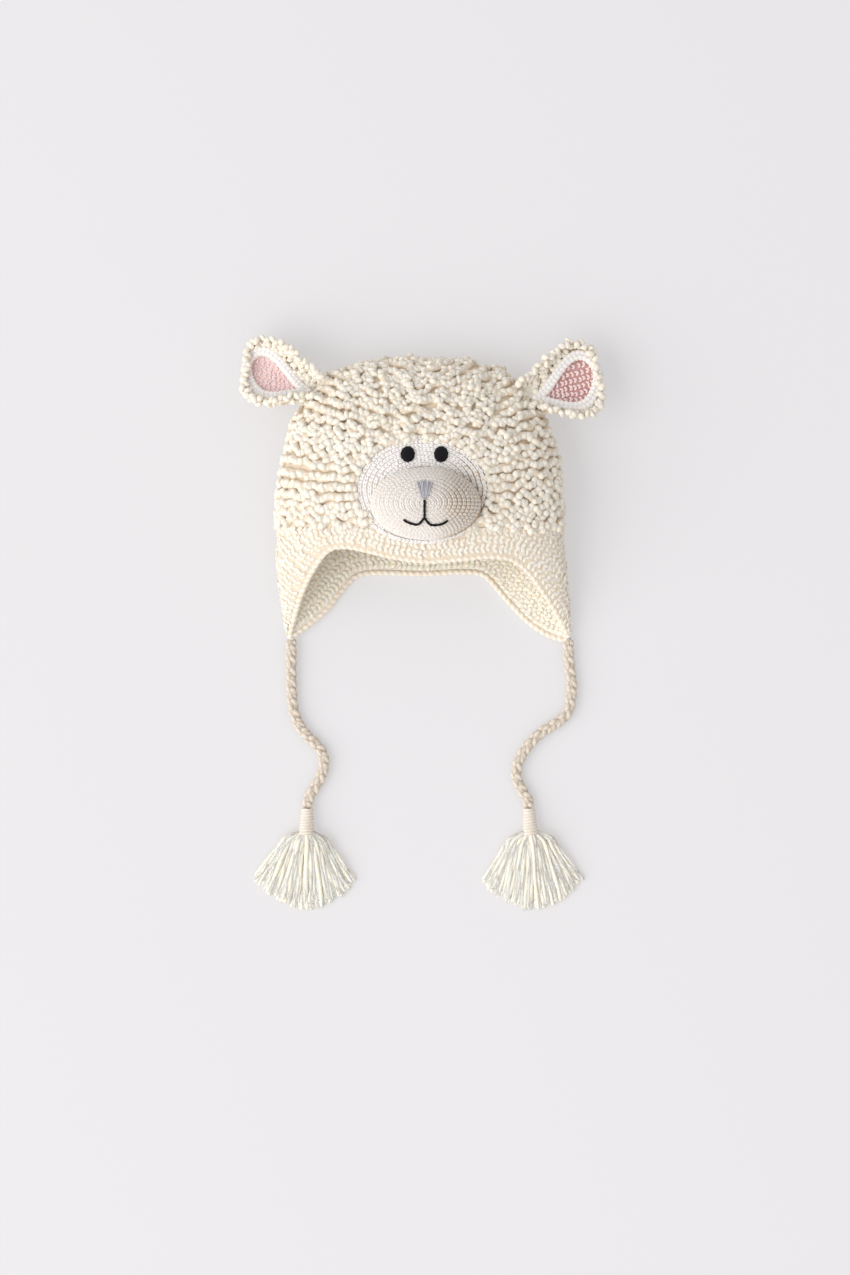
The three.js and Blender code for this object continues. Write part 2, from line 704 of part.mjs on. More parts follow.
// One lock of a tassel: a flattened strand that starts in the head, arches out and lies down
function lockGeometry(tie, share) {
  const { end, along, across } = wrapFrame(tie);
  const start = 2 * SEAM_GAP + WRAP_LENGTH;
  const sides = 6;
  const lockWidth = (TASSEL_WIDTH / TASSEL_LOCKS) * LOCK_OVERLAP;
  const reach = TASSEL_LENGTH * (1 - OUTER_SHORTER * share * share);
  const stations = [0, 0.16, 0.4, 0.7, 1];
  const loops = stations.map((t) => {
    const spreading = Math.sin(Math.min(1, t * 1.25) * (Math.PI / 2));
    const fan = (TASSEL_WIDTH - lockWidth) / 2;
    const side = share * (WRAP_END_DIAMETER * 0.32 + fan * spreading * 0.83);
    const far = start + reach * t * (1 - OUTER_SHORTER * share * share * t);
    const centre = end.clone().addScaledVector(along, far).addScaledVector(across, side);
    const fat = TASSEL_HEIGHT * lerp(LOCK_THICK, LOCK_THIN, t);
    const wide = lerp(WRAP_END_DIAMETER * 0.3, lockWidth, Math.min(1, 2 * t));
    return Array.from({ length: sides }, (_, j) => {
      const angle = (j / sides) * 2 * Math.PI;
      const point = centre.clone().addScaledVector(across, (Math.cos(angle) * wide) / 2);
      point.z = CLEAR_OF_FLOOR + (fat / 2) * (1 + Math.sin(angle)) * (t ? 1 : 1.1);
      return point;
    });
  });
  const middle = (loop) =>
    loop.reduce((sum, p) => sum.add(p), new THREE.Vector3()).divideScalar(loop.length);
  return loft(loops, [middle(loops[0]), middle(loops.at(-1))]);
}

function tasselSolid(tie) {
  const shares = Array.from({ length: TASSEL_LOCKS }, (_, i) => (2 * i) / (TASSEL_LOCKS - 1) - 1);
  const locks = shares.map((share) => toSolid(lockGeometry(tie, share)));
  return locks.reduce((all, lock) => all.add(lock));
}

const wool = new THREE.MeshStandardMaterial({ color: "#f3ebdc", roughness: 0.95 });
const cotton = new THREE.MeshStandardMaterial({ color: "#f1e8de", roughness: 0.9 });
const pinkCotton = new THREE.MeshStandardMaterial({ color: "#dba9a5", roughness: 0.9 });
const blackThread = new THREE.MeshStandardMaterial({ color: "#151316", roughness: 0.8 });
const greyThread = new THREE.MeshStandardMaterial({ color: "#a3a3a8", roughness: 0.7 });
const tasselYarn = new THREE.MeshStandardMaterial({ color: "#f8f3e9", roughness: 0.95 });

const hat = new THREE.Group();

function addPiece(name, shape, material) {
  const geometry = shape.isBufferGeometry ? shape : toGeometry(shape);
  const mesh = new THREE.Mesh(geometry, material);
  mesh.name = name;
  hat.add(mesh);
}

addPiece("crown", crownSolid(), wool);
addPiece("brim", brimSolid(), wool);
addPiece("face_patch", facePad(0, (x, y) => frontHeight(x, y) + SEAT_GAP, faceTop), cotton);
addPiece("muzzle", muzzlePad(), cotton);
addPiece("nose", noseGeometry(), greyThread);
addPiece("mouth", mouthSolid(), blackThread);
addPiece("eye_left", eyeGeometry(-1), blackThread);
addPiece("eye_right", eyeGeometry(1), blackThread);

const grown = crownOutside(SEAM_GAP);
const base = crownInside();
const foot = crownSurface(0, 0).setX(0);
const crownBlock = toSolid(loft([...grown.loops, base.loops[0]], [grown.top, foot]));

for (const ear of EARS) {
  addPiece(`ear_${ear.side}`, earSolid(ear, crownBlock), wool);
  addPiece(`ear_rim_${ear.side}`, earRimSolid(ear, crownBlock), cotton);
  addPiece(`ear_lining_${ear.side}`, earLiningSolid(ear, crownBlock), pinkCotton);
}

for (const tie of TIES) {
  addPiece(`tie_${tie.side}`, tube(tieCurve(tie), TIE_DIAMETER, 8, 26), wool);
  addPiece(`tie_wrap_${tie.side}`, wrapGeometry(tie), wool);
  addPiece(`tassel_${tie.side}`, tasselSolid(tie), tasselYarn);
}

export default hat;
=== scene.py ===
import bmesh
import bpy
import numpy as np
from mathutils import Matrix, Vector
from mathutils.bvhtree import BVHTree


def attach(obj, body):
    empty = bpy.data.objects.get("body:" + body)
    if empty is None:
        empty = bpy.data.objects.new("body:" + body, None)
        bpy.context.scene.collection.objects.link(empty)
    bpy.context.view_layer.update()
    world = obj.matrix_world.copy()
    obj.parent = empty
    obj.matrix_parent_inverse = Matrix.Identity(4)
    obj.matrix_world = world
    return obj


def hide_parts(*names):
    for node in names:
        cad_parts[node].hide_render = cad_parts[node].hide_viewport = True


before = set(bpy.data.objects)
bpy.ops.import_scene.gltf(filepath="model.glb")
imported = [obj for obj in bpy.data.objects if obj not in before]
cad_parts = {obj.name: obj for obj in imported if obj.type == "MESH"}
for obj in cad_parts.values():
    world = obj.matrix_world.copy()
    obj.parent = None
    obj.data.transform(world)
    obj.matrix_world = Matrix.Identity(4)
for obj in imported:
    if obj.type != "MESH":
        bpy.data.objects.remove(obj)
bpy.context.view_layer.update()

MM = 0.001
TAU = 2 * np.pi

# The photograph's frame, and what a pixel of it measures at the height of the hat's widest line
PHOTO_HEIGHT = 1275
MM_PER_PIXEL = 0.65
VIEW_CENTRE = (3.25, -108.9)
VIEW_LEVEL = 25
LENS = 100

# The hat as a whole
HAT_WIDTH = 185
HAT_LOFT = 56
CROWN_DEPTH = 108
ORIGIN_UP = 38
BAND_Y = -ORIGIN_UP
FLAP_DROP = 72
BAND_WALL = 3.6
SECTION_POWER = 2.35
FLATTENED = 1.13
WIDEST = 0.38
SEAM_GAP = 0.3
SEAT_GAP = 0.5
# Sections of the crown and the band: half width, front and underside as shares of the hat's own
CROWN_SECTIONS = {
    "up": (0, 0.15, 0.3, 0.45, 0.6, 0.73, 0.83, 0.91, 0.965, 0.993, 1),
    "wide": (0.975, 0.97, 0.952, 0.92, 0.872, 0.808, 0.725, 0.6, 0.43, 0.2, 0),
    "front": (0.965, 1, 1, 0.975, 0.915, 0.825, 0.73, 0.62, 0.51, 0.41, 0.32),
    "under": (0.035, 0.035, 0.035, 0.035, 0.035, 0.045, 0.06, 0.09, 0.15, 0.23, 0.32),
}
BAND_SECTIONS = {
    "down": (0, 0.28, 0.52, 0.76, 1),
    "wide": (1, 1.018, 1.02, 1.012, 1),
    "front": (0.965, 0.85, 0.65, 0.44, 0.22),
    "under": (0, 0, 0, 0, 0),
    "lean": (0, 0.004, 0.011, 0.022, 0.033),
}
# The lower edge: the turn in degrees, and how far down it lies as a share of the flaps' drop
EDGE = {
    "turn": (0, 12, 22, 33, 43, 51, 62, 75, 88, 100, 112, 122, 130, 139, 150, 162, 180,
             203, 216, 227, 236, 243, 252, 270, 288, 296, 304, 315, 327, 343, 360),
    "drop": (1, 0.93, 0.8, 0.6, 0.4, 0.29, 0.265, 0.29, 0.31, 0.275, 0.21, 0.175, 0.21, 0.39,
             0.63, 0.85, 1, 0.93, 0.84, 0.71, 0.54, 0.42, 0.39, 0.4, 0.385, 0.42, 0.61, 0.83,
             0.95, 1, 1),
}

# The face
FACE_MIDDLE = (1.5, -14)
FACE_HALF = (44, 34)
FACE_WALL = 2
MUZZLE_MIDDLE = (3.9, -23.5)
MUZZLE_HALF = (35.75, 23)
MUZZLE_RISE = 21
MUZZLE_EDGE = 1
MUZZLE_ROUND = 2.3
MUZZLE_STEEP = 0.6
FEATURES_X = 2.9
EYE_HALF = (4.6, 5.2)
EYE_SPACING = 21.4
EYE_Y = 8.6
NOSE_TOP = -9.3
NOSE_BOTTOM = -21.2
NOSE_HALF_TOP = 4.9
NOSE_HALF_BOTTOM = 1.6
NOSE_THREADS = 9
NOSE_LIFT = 1.45
MOUTH_FORK = -32.8
MOUTH_THREAD = 1.6

# The ears
EAR_LENGTH = 54
EAR_WIDTH = 42
EAR_CUP = 11
EAR_SECTIONS = {
    "along": (0, 0.14, 0.34, 0.54, 0.72, 0.87, 0.96, 0.99, 1),
    "half": (0.34, 0.42, 0.68, 0.9, 1, 0.9, 0.66, 0.34, 0),
    "cup": (0.75, 0.8, 0.95, 1, 0.95, 0.8, 0.6, 0.5, 0.45),
}
EAR_BEND = 1.5
LINING_FROM = 0.24
LINING_TO = 0.93
LINING_SPREAD = 0.39
# Each ear's root, as a share of the way up the crown and a turn round it, its heading, droop and roll,
# all in degrees, how open and how skewed it is, how its lining leans, and how much painted shade its pink
# gets
EARS = {
    "left": {
        "row": 0.56, "turn": 160, "heading": 164, "droop": -13, "roll": 14, "open": 1,
        "skew": -0.2, "lean": 0.28, "shade": 0,
    },
    "right": {
        "row": 0.53, "turn": 22, "heading": 15, "droop": -10, "roll": -8, "open": 1.15,
        "skew": 0.08, "lean": -0.28, "shade": 0.75,
    },
}

# The ties, with the points of their middle lines: to the right of the flap's tip, and down from it
TIE_DIAMETER = 7
CLEAR_OF_FLOOR = 0.3
WRAP_LENGTH = 17
WRAP_TOP_DIAMETER = 8
WRAP_END_DIAMETER = 11
TASSEL_LENGTH = 52
TASSEL_WIDTH = 70
TIES = {
    "left": {
        "turn": 180,
        "route": (
            (0.1, 8), (0.1, 22.8), (0.5, 36), (2, 48), (6.6, 58.5), (11.5, 64.5), (16.2, 69),
            (20.2, 74.2), (21.6, 80.5), (20.6, 87.5), (17.5, 94.5), (13.8, 100.3), (11.2, 106),
            (10.8, 111),
        ),
    },
    "right": {
        "turn": 354,
        "route": (
            (0.4, 8), (1, 16), (2.5, 30.5), (1, 44.2), (-2, 50), (-7.2, 54.5), (-17.5, 61),
            (-23.4, 66.5), (-28.6, 73), (-32.8, 81.3), (-33.6, 90.4), (-29.6, 99.5),
            (-26.2, 105.5), (-25.6, 110.5),
        ),
    },
}


def read_table(table, key, column, value):
    """Looks up one column of a table by another, smoothly."""
    x = np.array(table[key], float)
    y = np.array(table[column], float)
    slope = np.concatenate([
        [(y[1] - y[0]) / (x[1] - x[0])],
        (y[2:] - y[:-2]) / (x[2:] - x[:-2]),
        [(y[-1] - y[-2]) / (x[-1] - x[-2])],
    ])
    i = np.clip(np.searchsorted(x, value, side="right") - 1, 0, len(x) - 2)
    span = x[i + 1] - x[i]
    t = np.clip((value - x[i]) / span, 0, 1)
    ends = (2 * t**3 - 3 * t**2 + 1) * y[i] + (3 * t**2 - 2 * t**3) * y[i + 1]
    return ends + ((t**3 - 2 * t**2 + t) * slope[i] + (t**3 - t**2) * slope[i + 1]) * span


def read_columns(table, key, columns, value):
    return [read_table(table, key, column, value) for column in columns]


def smooth_step(x, low, high):
    t = np.clip((x - low) / (high - low), 0, 1)
    return t * t * (3 - 2 * t)


def unit(vectors):
    return vectors / np.maximum(np.linalg.norm(vectors, axis=-1, keepdims=True), 1e-9)


def way_along(points):
    """Distance from the first point to each point of a line."""
    return np.concatenate([[0], np.cumsum(np.linalg.norm(np.diff(points, axis=0), axis=1))])


def evenly(points, count):
    """A line's points, moved so that they are evenly spaced along it."""
    way = way_along(points)
    spots = np.linspace(0, way[-1], count)
    return np.stack([np.interp(spots, way, points[:, k]) for k in range(points.shape[1])], 1)


def smooth_line(points, count):
    """Evenly spaced points on a smooth curve through a few chosen ones."""
    p = np.array(points, float)
    p = np.vstack([2 * p[0] - p[1], p, 2 * p[-1] - p[-2]])
    t = np.linspace(0, 1, 17)[:-1, None]
    parts = []
    for a, b, c, d in zip(p, p[1:], p[2:], p[3:]):
        parts.append(
            0.5 * (2 * b + (c - a) * t + (2 * a - 5 * b + 4 * c - d) * t**2
                   + (3 * b - a - 3 * c + d) * t**3)
        )
    return evenly(np.vstack([*parts, p[-2:-1]]), count)


def on_section(middle, y, half, front, under, turn):
    """Points of the hat's sections. Turn is 0 at the right and a quarter turn at the front."""
    across = np.cos(turn)
    arch = np.clip(1 - np.abs(across) ** SECTION_POWER, 0, 1) ** (1 / SECTION_POWER)
    widest = under + (front - under) * WIDEST
    above = widest + (front - widest) * arch
    below = widest + (under - widest) * np.minimum(1, FLATTENED * arch)
    z = np.where(np.sin(turn) >= 0, above, below)
    return np.stack(np.broadcast_arrays(middle + half * across, y, z), -1)


def make_sheet(points):
    """A surface given by a table of points, with its outward normals, evenly spaced down each column."""
    rows = len(points)
    even = np.stack([evenly(points[:, j], rows) for j in range(points.shape[1])], 1)
    down = np.gradient(even, axis=0)
    ring = np.concatenate([even[:, -2:-1], even, even[:, 1:2]], 1)
    around = (ring[:, 2:] - ring[:, :-2]) / 2
    normals = unit(np.cross(around, -down))
    normals[-1] = normals[-2]
    return {"points": even, "normals": normals, "length": np.mean(way_along(even[:, 0]))}


def on_sheet(table, share, turn):
    """Values of a sheet's table at a share of the way down its columns and a turn round it."""
    rows, columns = table.shape[0] - 1, table.shape[1] - 1
    a = np.clip(share, 0, 1) * rows
    b = (turn / TAU % 1) * columns
    i = np.minimum(a.astype(int), rows - 1)
    j = np.minimum(b.astype(int), columns - 1)
    fa = (a - i)[..., None]
    fb = (b - j)[..., None]
    near = table[i, j] * (1 - fa) + table[i + 1, j] * fa
    far = table[i, j + 1] * (1 - fa) + table[i + 1, j + 1] * fa
    return near * (1 - fb) + far * fb


def ring_of(sheet, share, count):
    """Evenly spaced turns round a sheet's ring, and the ring's length."""
    turns = np.linspace(0, TAU, 721)
    way = way_along(on_sheet(sheet["points"], np.full(721, float(share)), turns))
    return np.interp(np.linspace(0, way[-1], count), way, turns), way[-1]


def crown_profile():
    """The crown's table of sections, with the way up its outline to each."""
    table = {k: np.array(v, float) for k, v in CROWN_SECTIONS.items()}
    corners = np.stack([table["up"] * CROWN_DEPTH, table["wide"] * HAT_WIDTH / 2,
                        table["front"] * HAT_LOFT], 1)
    return {"way": way_along(corners), **table}


def crown_section(way, turn):
    """Points of the crown's bare surface, by the way up its outline and the turn round it."""
    up, wide, front, under = read_columns(PROFILE, "way", ("up", "wide", "front", "under"), way)
    half = np.maximum(wide, 0) * HAT_WIDTH / 2
    return on_section(0, BAND_Y + up * CROWN_DEPTH, half, front * HAT_LOFT, under * HAT_LOFT, turn)


PROFILE = crown_profile()
CROWN = make_sheet(
    crown_section(np.linspace(0, PROFILE["way"][-1], 241)[:, None], np.linspace(0, TAU, 361)[None, :])
)


def band_point(drop, turn):
    """Points of the band's bare surface, by the drop below its top and the turn round it."""
    columns = ("lean", "wide", "front", "under")
    lean, wide, front, under = read_columns(BAND_SECTIONS, "down", columns, drop / FLAP_DROP)
    half = wide * HAT_WIDTH / 2
    return on_section(lean * HAT_WIDTH, BAND_Y - drop, half, front * HAT_LOFT, under * HAT_LOFT, turn)


def band_normal(drop, turn):
    around = band_point(drop, turn + 0.02) - band_point(drop, turn - 0.02)
    down = band_point(drop + 0.5, turn) - band_point(drop - 0.5, turn)
    return unit(np.cross(around, down))


def edge_drop(turn):
    """How far down the band's edge lies at a turn."""
    return read_table(EDGE, "turn", "drop", np.degrees(turn % TAU)) * FLAP_DROP


def front_height(x, y):
    """Height of the bare front of the hat over the plan."""
    columns = ("wide", "front", "under")
    up = np.clip((y - BAND_Y) / CROWN_DEPTH, 0, 1)
    down = np.maximum(0, BAND_Y - y) / FLAP_DROP
    crown = [*read_columns(CROWN_SECTIONS, "up", columns, up), 0]
    band = read_columns(BAND_SECTIONS, "down", (*columns, "lean"), down)
    wide, front, under, lean = (np.where(y < BAND_Y, b, c) for b, c in zip(band, crown))
    front, under = front * HAT_LOFT, under * HAT_LOFT
    across = np.minimum(1, np.abs(x - lean * HAT_WIDTH) / np.maximum(wide * HAT_WIDTH / 2, 1))
    arch = (1 - across**SECTION_POWER) ** (1 / SECTION_POWER)
    widest = under + (front - under) * WIDEST
    return widest + (front - widest) * arch


def in_ellipse(x, y, middle, half):
    """How far out of an ellipse a place is: 1 on its line."""
    return np.hypot((x - middle[0]) / half[0], (y - middle[1]) / half[1])


def drift(points, size, seed):
    """A smooth wandering value over space, mostly between -1 and 1, that changes over about size mm."""
    rng = np.random.default_rng(seed)
    ways = unit(rng.normal(size=(9, 3))) * rng.uniform(0.6, 1.4, (9, 1)) * TAU / (2.5 * size)
    return np.sin(points @ ways.T + rng.uniform(0, TAU, 9)).sum(1) / 2.6


def coordinates(mesh):
    """A mesh's points, one in each row."""
    flat = np.empty(len(mesh.vertices) * 3, np.float32)
    mesh.vertices.foreach_get("co", flat)
    return flat.reshape(-1, 3)


def new_mesh(name, points, faces):
    mesh = bpy.data.meshes.new(name)
    mesh.from_pydata((np.asarray(points) * MM).tolist(), [], np.asarray(faces).tolist())
    return mesh


def set_painted_shade(mesh, painted_shade):
    """How much painted shade each point gets, for the shade down in the fabric: 0 on top, and 1 at the
    bottom.
    """
    attribute = mesh.attributes.new("painted_shade", "FLOAT", "POINT")
    attribute.data.foreach_set("value", np.asarray(painted_shade, np.float32))


def shaped_grid(name, steps, place, size):
    """A grid of steps quads whose points are put in place by place(u, v), where u and v run from 0 to 1.
    Its UV map is u and v times size in millimetres."""
    bm = bmesh.new()
    bmesh.ops.create_grid(bm, x_segments=steps[0], y_segments=steps[1], size=0.5)
    mesh = bpy.data.meshes.new(name)
    bm.to_mesh(mesh)
    bm.free()
    u, v = coordinates(mesh)[:, :2].T.astype(float) + 0.5
    corner = np.empty(len(mesh.loops), np.int32)
    mesh.loops.foreach_get("vertex_index", corner)
    # place also gives how much painted shade each point gets
    spots, painted_shade = place(u, v)
    mesh.vertices.foreach_set("co", (spots * MM).astype(np.float32).ravel())
    uv = mesh.uv_layers.new(name="UVMap")
    uv.data.foreach_set("uv", np.stack([u[corner] * size[0], v[corner] * size[1]], 1).ravel())
    set_painted_shade(mesh, np.broadcast_to(painted_shade, u.shape))
    return mesh


def joined(name, *meshes):
    """One mesh of several, with touching points merged and faces turned outwards."""
    bm = bmesh.new()
    for mesh in meshes:
        bm.from_mesh(mesh)
        bpy.data.meshes.remove(mesh)
    bmesh.ops.remove_doubles(bm, verts=bm.verts, dist=2e-6)
    flat = [f for f in bm.faces if f.calc_area() < 1e-13]
    bmesh.ops.delete(bm, geom=flat, context="FACES_ONLY")
    bmesh.ops.recalc_face_normals(bm, faces=bm.faces)
    for face in bm.faces:
        face.smooth = True
    mesh = bpy.data.meshes.new(name)
    bm.to_mesh(mesh)
    bm.free()
    return mesh


def add_piece(name, mesh, material, node):
    """Puts a finished mesh in the scene, on the hat's one body, in place of a node of the solid."""
    piece = bpy.data.objects.new(name, mesh)
    bpy.context.scene.collection.objects.link(piece)
    mesh.materials.clear()
    mesh.materials.append(material)
    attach(piece, "root")
    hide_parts(node)
    return piece


def tube(name, line, ups, outline, sides, closed, across=None):
    """A yarn along a line. outline(i, angle) says how far each point lies to the side and up. The side
    is square to the line, unless across gives its direction."""
    count = len(line)
    steps = count if closed else count - 1
    if across is None:
        ahead = unit(np.roll(line, -1, 0) - np.roll(line, 1, 0) if closed else np.gradient(line, axis=0))
        across = unit(np.cross(ahead, ups))
        ups = np.cross(across, ahead)

    def place(u, v):
        i = np.rint(u * steps).astype(int) % count if closed else np.rint(u * steps).astype(int)
        # The third value is how much painted shade each point gets
        to_side, to_up, painted_shade = outline(i, v * TAU)
        return line[i] + across[i] * to_side[:, None] + ups[i] * to_up[:, None], painted_shade

    return shaped_grid(name, (steps, sides), place, (way_along(line)[-1], 1))


def round_ends(count, length, radius):
    """Shares of a yarn's thickness along it, so that both of its ends are round and closed."""
    way = np.linspace(0, length, count)
    near = np.clip(np.minimum(way, length - way) / radius, 0, 1)
    return np.sqrt(1 - (1 - near) ** 2)


def strand(line, ups, radius, thick, turns, groove, sides, painted_shade, squash=1.0):
    """A spun yarn along a line, with a groove that winds round it. Thick and turns give its share of
    the radius and its winding at each point, and a function of angle and ply gives how much painted shade
    its hollows get."""

    def outline(i, angle):
        ply = 1 + groove * np.sin(2 * angle - turns[i] * TAU)
        fat = radius * thick[i] * ply
        return fat * np.cos(angle), fat * squash * np.sin(angle), painted_shade(angle, ply)

    return tube("strand", line, np.broadcast_to(ups, line.shape), outline, sides, False)


# Camera, straight above
camera_data = bpy.data.cameras.new("camera")
camera_data.lens = LENS
camera = bpy.data.objects.new("camera", camera_data)
distance = PHOTO_HEIGHT * MM_PER_PIXEL * LENS / camera_data.sensor_width
camera.location = Vector((VIEW_CENTRE[0], VIEW_CENTRE[1], distance + VIEW_LEVEL)) * MM
bpy.context.scene.collection.objects.link(camera)
bpy.context.scene.camera = camera


# Materials


def linear(hex_colour):
    """An sRGB hex colour as linear red, green, blue and alpha."""
    values = [int(hex_colour[i:i + 2], 16) / 255 for i in (1, 3, 5)]
    return [c / 12.92 if c <= 0.04045 else ((c + 0.055) / 1.055) ** 2.4 for c in values] + [1]


def set_inputs(node, inputs):
    """Sets or links a node's inputs."""
    for key, value in inputs.items():
        if isinstance(value, bpy.types.NodeSocket):
            node.id_data.links.new(value, node.inputs[key])
        else:
            node.inputs[key].default_value = value


def add(tree, kind, inputs, **settings):
    """Adds a node, sets its settings and inputs, and gives its outputs."""
    node = tree.nodes.new(kind)
    for key, value in settings.items():
        setattr(node, key, value)
    set_inputs(node, inputs)
    return node.outputs


def mixed(tree, share, first, second):
    """A colour between two others."""
    return add(tree, "ShaderNodeMix", {0: share, 6: first, 7: second}, data_type="RGBA")[2]


def new_material(name, inputs):
    material = bpy.data.materials.new(name)
    material.use_nodes = True
    set_inputs(material.node_tree.nodes["Principled BSDF"], inputs)
    return material


def fibre(name, light, dark, painted_shade_colour, grain, twist, sheen, glow=0.3, relief=0.5):
    """A spun yarn: patches of lighter and darker fibre, warm painted shade down between the stitches as
    strong as each point's painted shade attribute says, and fine twisted fibres. Grain is the width of a
    tuft and twist the length of a ply's turn, in mm."""
    material = new_material(name, {
        "Roughness": 0.9, "Specular IOR Level": 0.2, "Sheen Weight": sheen, "Sheen Roughness": 0.4,
        "Subsurface Weight": glow, "Subsurface Radius": (1.0, 0.75, 0.5), "Subsurface Scale": 3 * MM,
    })
    tree = material.node_tree
    spot = add(tree, "ShaderNodeTexCoord", {})["Object"]
    tufts = add(tree, "ShaderNodeTexNoise",
                {"Vector": spot, "Scale": 1 / (grain * MM), "Detail": 4, "Roughness": 0.6})["Fac"]
    shade = add(tree, "ShaderNodeMapRange", {"Value": tufts, "From Min": 0.3, "From Max": 0.7})["Result"]
    # Painted shade: the mesh's attribute mixes the yarn's colour towards a warm shade colour
    painted_shade = add(tree, "ShaderNodeAttribute", {}, attribute_name="painted_shade")["Fac"]
    colour = mixed(tree, painted_shade, mixed(tree, shade, linear(dark), linear(light)), linear(painted_shade_colour))
    fine = add(tree, "ShaderNodeTexNoise",
               {"Vector": spot, "Scale": 1 / (twist * MM), "Detail": 5, "Roughness": 0.7})["Fac"]
    bump = add(tree, "ShaderNodeBump", {"Height": fine, "Strength": relief, "Distance": 0.4 * MM})["Normal"]
    set_inputs(tree.nodes["Principled BSDF"], {"Base Color": colour, "Normal": bump})
    return material


# Cream wool, worsted spun and crocheted: soft and matt, with a light fuzz, and warm painted shade in its
# hollows
wool = fibre("cream_wool", "#faf4e8", "#ece1cf", "#cfae80", 2.5, 0.8, 0.25, 0.2, 0.8)
# The same wool inside the band, made lighter and warmer with a faint glow: painted light for the light
# through the fabric that warms it
inner_wool_painted_light = fibre("inner_wool_painted_light", "#fff6e4", "#f9eacf", "#e3bf86", 2.5, 0.8, 0.25, 0.5, 0.8)
# Painted light: a faint warm glow
set_inputs(inner_wool_painted_light.node_tree.nodes["Principled BSDF"],
           {"Emission Color": linear("#fff0d2"), "Emission Strength": 0.05})
# White mercerised cotton in fine single crochet: a little smoother and cooler than the wool
cotton = fibre("white_cotton", "#fefbf8", "#f5efe9", "#b39d80", 1.8, 0.6, 0.1, 0.2)
# Dusty pink cotton in the ears' hollows
pink = fibre("pink_cotton", "#ffe7e4", "#f7d2ce", "#b8827c", 1.5, 0.5, 0.1)
# Black stranded cotton: dark with a soft shine along the stitches
black = fibre("black_thread", "#1b181d", "#0c0a0e", "#060507", 1.0, 0.4, 0.15, 0)
# Grey stranded cotton in satin stitch
grey = fibre("grey_thread", "#d9d8dc", "#bbb9be", "#76747a", 1.0, 0.4, 0.1, 0.1)
# The ties' yarn, plied tighter, and a little greyer than the wool: partly its own colour and partly painted
# shade for the shade between the braid's strands
plied = fibre("tie_wool", "#f0e8dd", "#e1d6c8", "#ae997c", 1.2, 0.6, 0.15, 0.2, 0.8)
# Loose tassel yarn: whiter and fluffier than the fabric
fluff = fibre("tassel_wool", "#fff8e6", "#faeed6", "#e6cf9f", 3.0, 0.6, 0.35, 0.5)


# Stitches


def ball(sides, rings):
    """A closed ball, one unit across, as points and triangles."""
    bm = bmesh.new()
    bmesh.ops.create_uvsphere(bm, u_segments=sides, v_segments=rings, radius=0.5)
    bmesh.ops.triangulate(bm, faces=bm.faces)
    points = np.array([v.co for v in bm.verts])
    faces = np.array([[v.index for v in f.verts] for f in bm.faces])
    bm.free()
    return points, faces


def lobe_pair(slant, wide):
    """One chain stitch, as points and triangles: two lobes that slant each way from the row, by an
    angle in degrees. It is about one unit long, high and deep."""
    lobe, faces = ball(6, 5)
    parts = []
    for way in (-1, 1):
        turn = np.radians(slant) * way
        turned = np.array(((np.cos(turn), -np.sin(turn), 0), (np.sin(turn), np.cos(turn), 0), (0, 0, 1)))
        parts.append(lobe * (1.2, wide, 1) @ turned.T - (0, 0.25 * way, 0))
    return np.vstack(parts), np.vstack([faces, faces + len(lobe)])


LUMP = ball(7, 6)
CHAIN = lobe_pair(36, 0.66)
RIDGE = lobe_pair(15, 0.6)


def repeated(name, shape, rows, disorder):
    """A shape at many places, none quite like the next. Each row has its points, their upward
    directions, their directions along the row, each one's length, width and rise, and how much painted
    shade falls in its hollows. Disorder is how far each one turns, in radians."""
    points, faces = shape
    parts = [
        [np.broadcast_to(np.reshape(value, (-1, width)), (len(row[0]), width))
         for value, width in zip(row, (3, 3, 3, 3, 1))]
        for row in rows
    ]
    spots, ups, alongs, size, shade_amount = (np.vstack(part) for part in zip(*parts))
    rng = np.random.default_rng(len(spots))
    alongs = unit(alongs + np.cross(ups, alongs) * rng.normal(0, disorder, (len(spots), 1)))
    size = size * rng.normal(1, 0.6 * disorder, (len(spots), 3))
    spots = spots + rng.normal(0, 0.5 * disorder, (len(spots), 3)) * size
    side = unit(np.cross(ups, alongs))
    axes = np.stack([np.cross(side, ups), side, ups], 1)
    placed = spots[:, None] + (points[None] * size[:, None]) @ axes
    every = faces[None] + (np.arange(len(spots)) * len(points))[:, None, None]
    mesh = new_mesh(name, placed.reshape(-1, 3), every.reshape(-1, 3))
    # Painted shade on the lower part of each shape, as strong as its row says
    set_painted_shade(mesh, (shade_amount * np.clip(0.15 - points[:, 2] * 1.2, 0, 1) ** 1.5).ravel())
    mesh.shade_smooth()
    return mesh


# The crown


ROPE_ROWS = 25
ROPE_WAVE = 10.5  # length of a wave along its round
ROPE_SWING = 1.9  # how far a wave swings up and down the crown
ROPE_WIDE = 3.0  # half width of the ruffle's edge
ROPE_TALL = 2.1  # how far the edge rises over its middle line
ROPE_HEIGHT = 2.0  # how far that line lies over the fabric
ROPE_ROOT = 4.2  # how far the ruffle reaches down from it
ROPE_STEP = 1.3
ROPE_SIDES = 8
LUMP_LOW = (4.9, 5.2, 4.2)  # length, width and rise of a lump near the band
LUMP_HIGH = (6.0, 3.9, 4.0)  # the same near the top
LUMP_STEP = 2.6
LUMP_SLANT = (0.45, 0.85)  # how far a lump leans near the band and near the top
LUMP_LIFT = 0.75
CROWN_OUT = 1.0  # how far the fabric lies out of the crown's bare surface
CROWN_IN = 3.6  # and how far its inside lies in


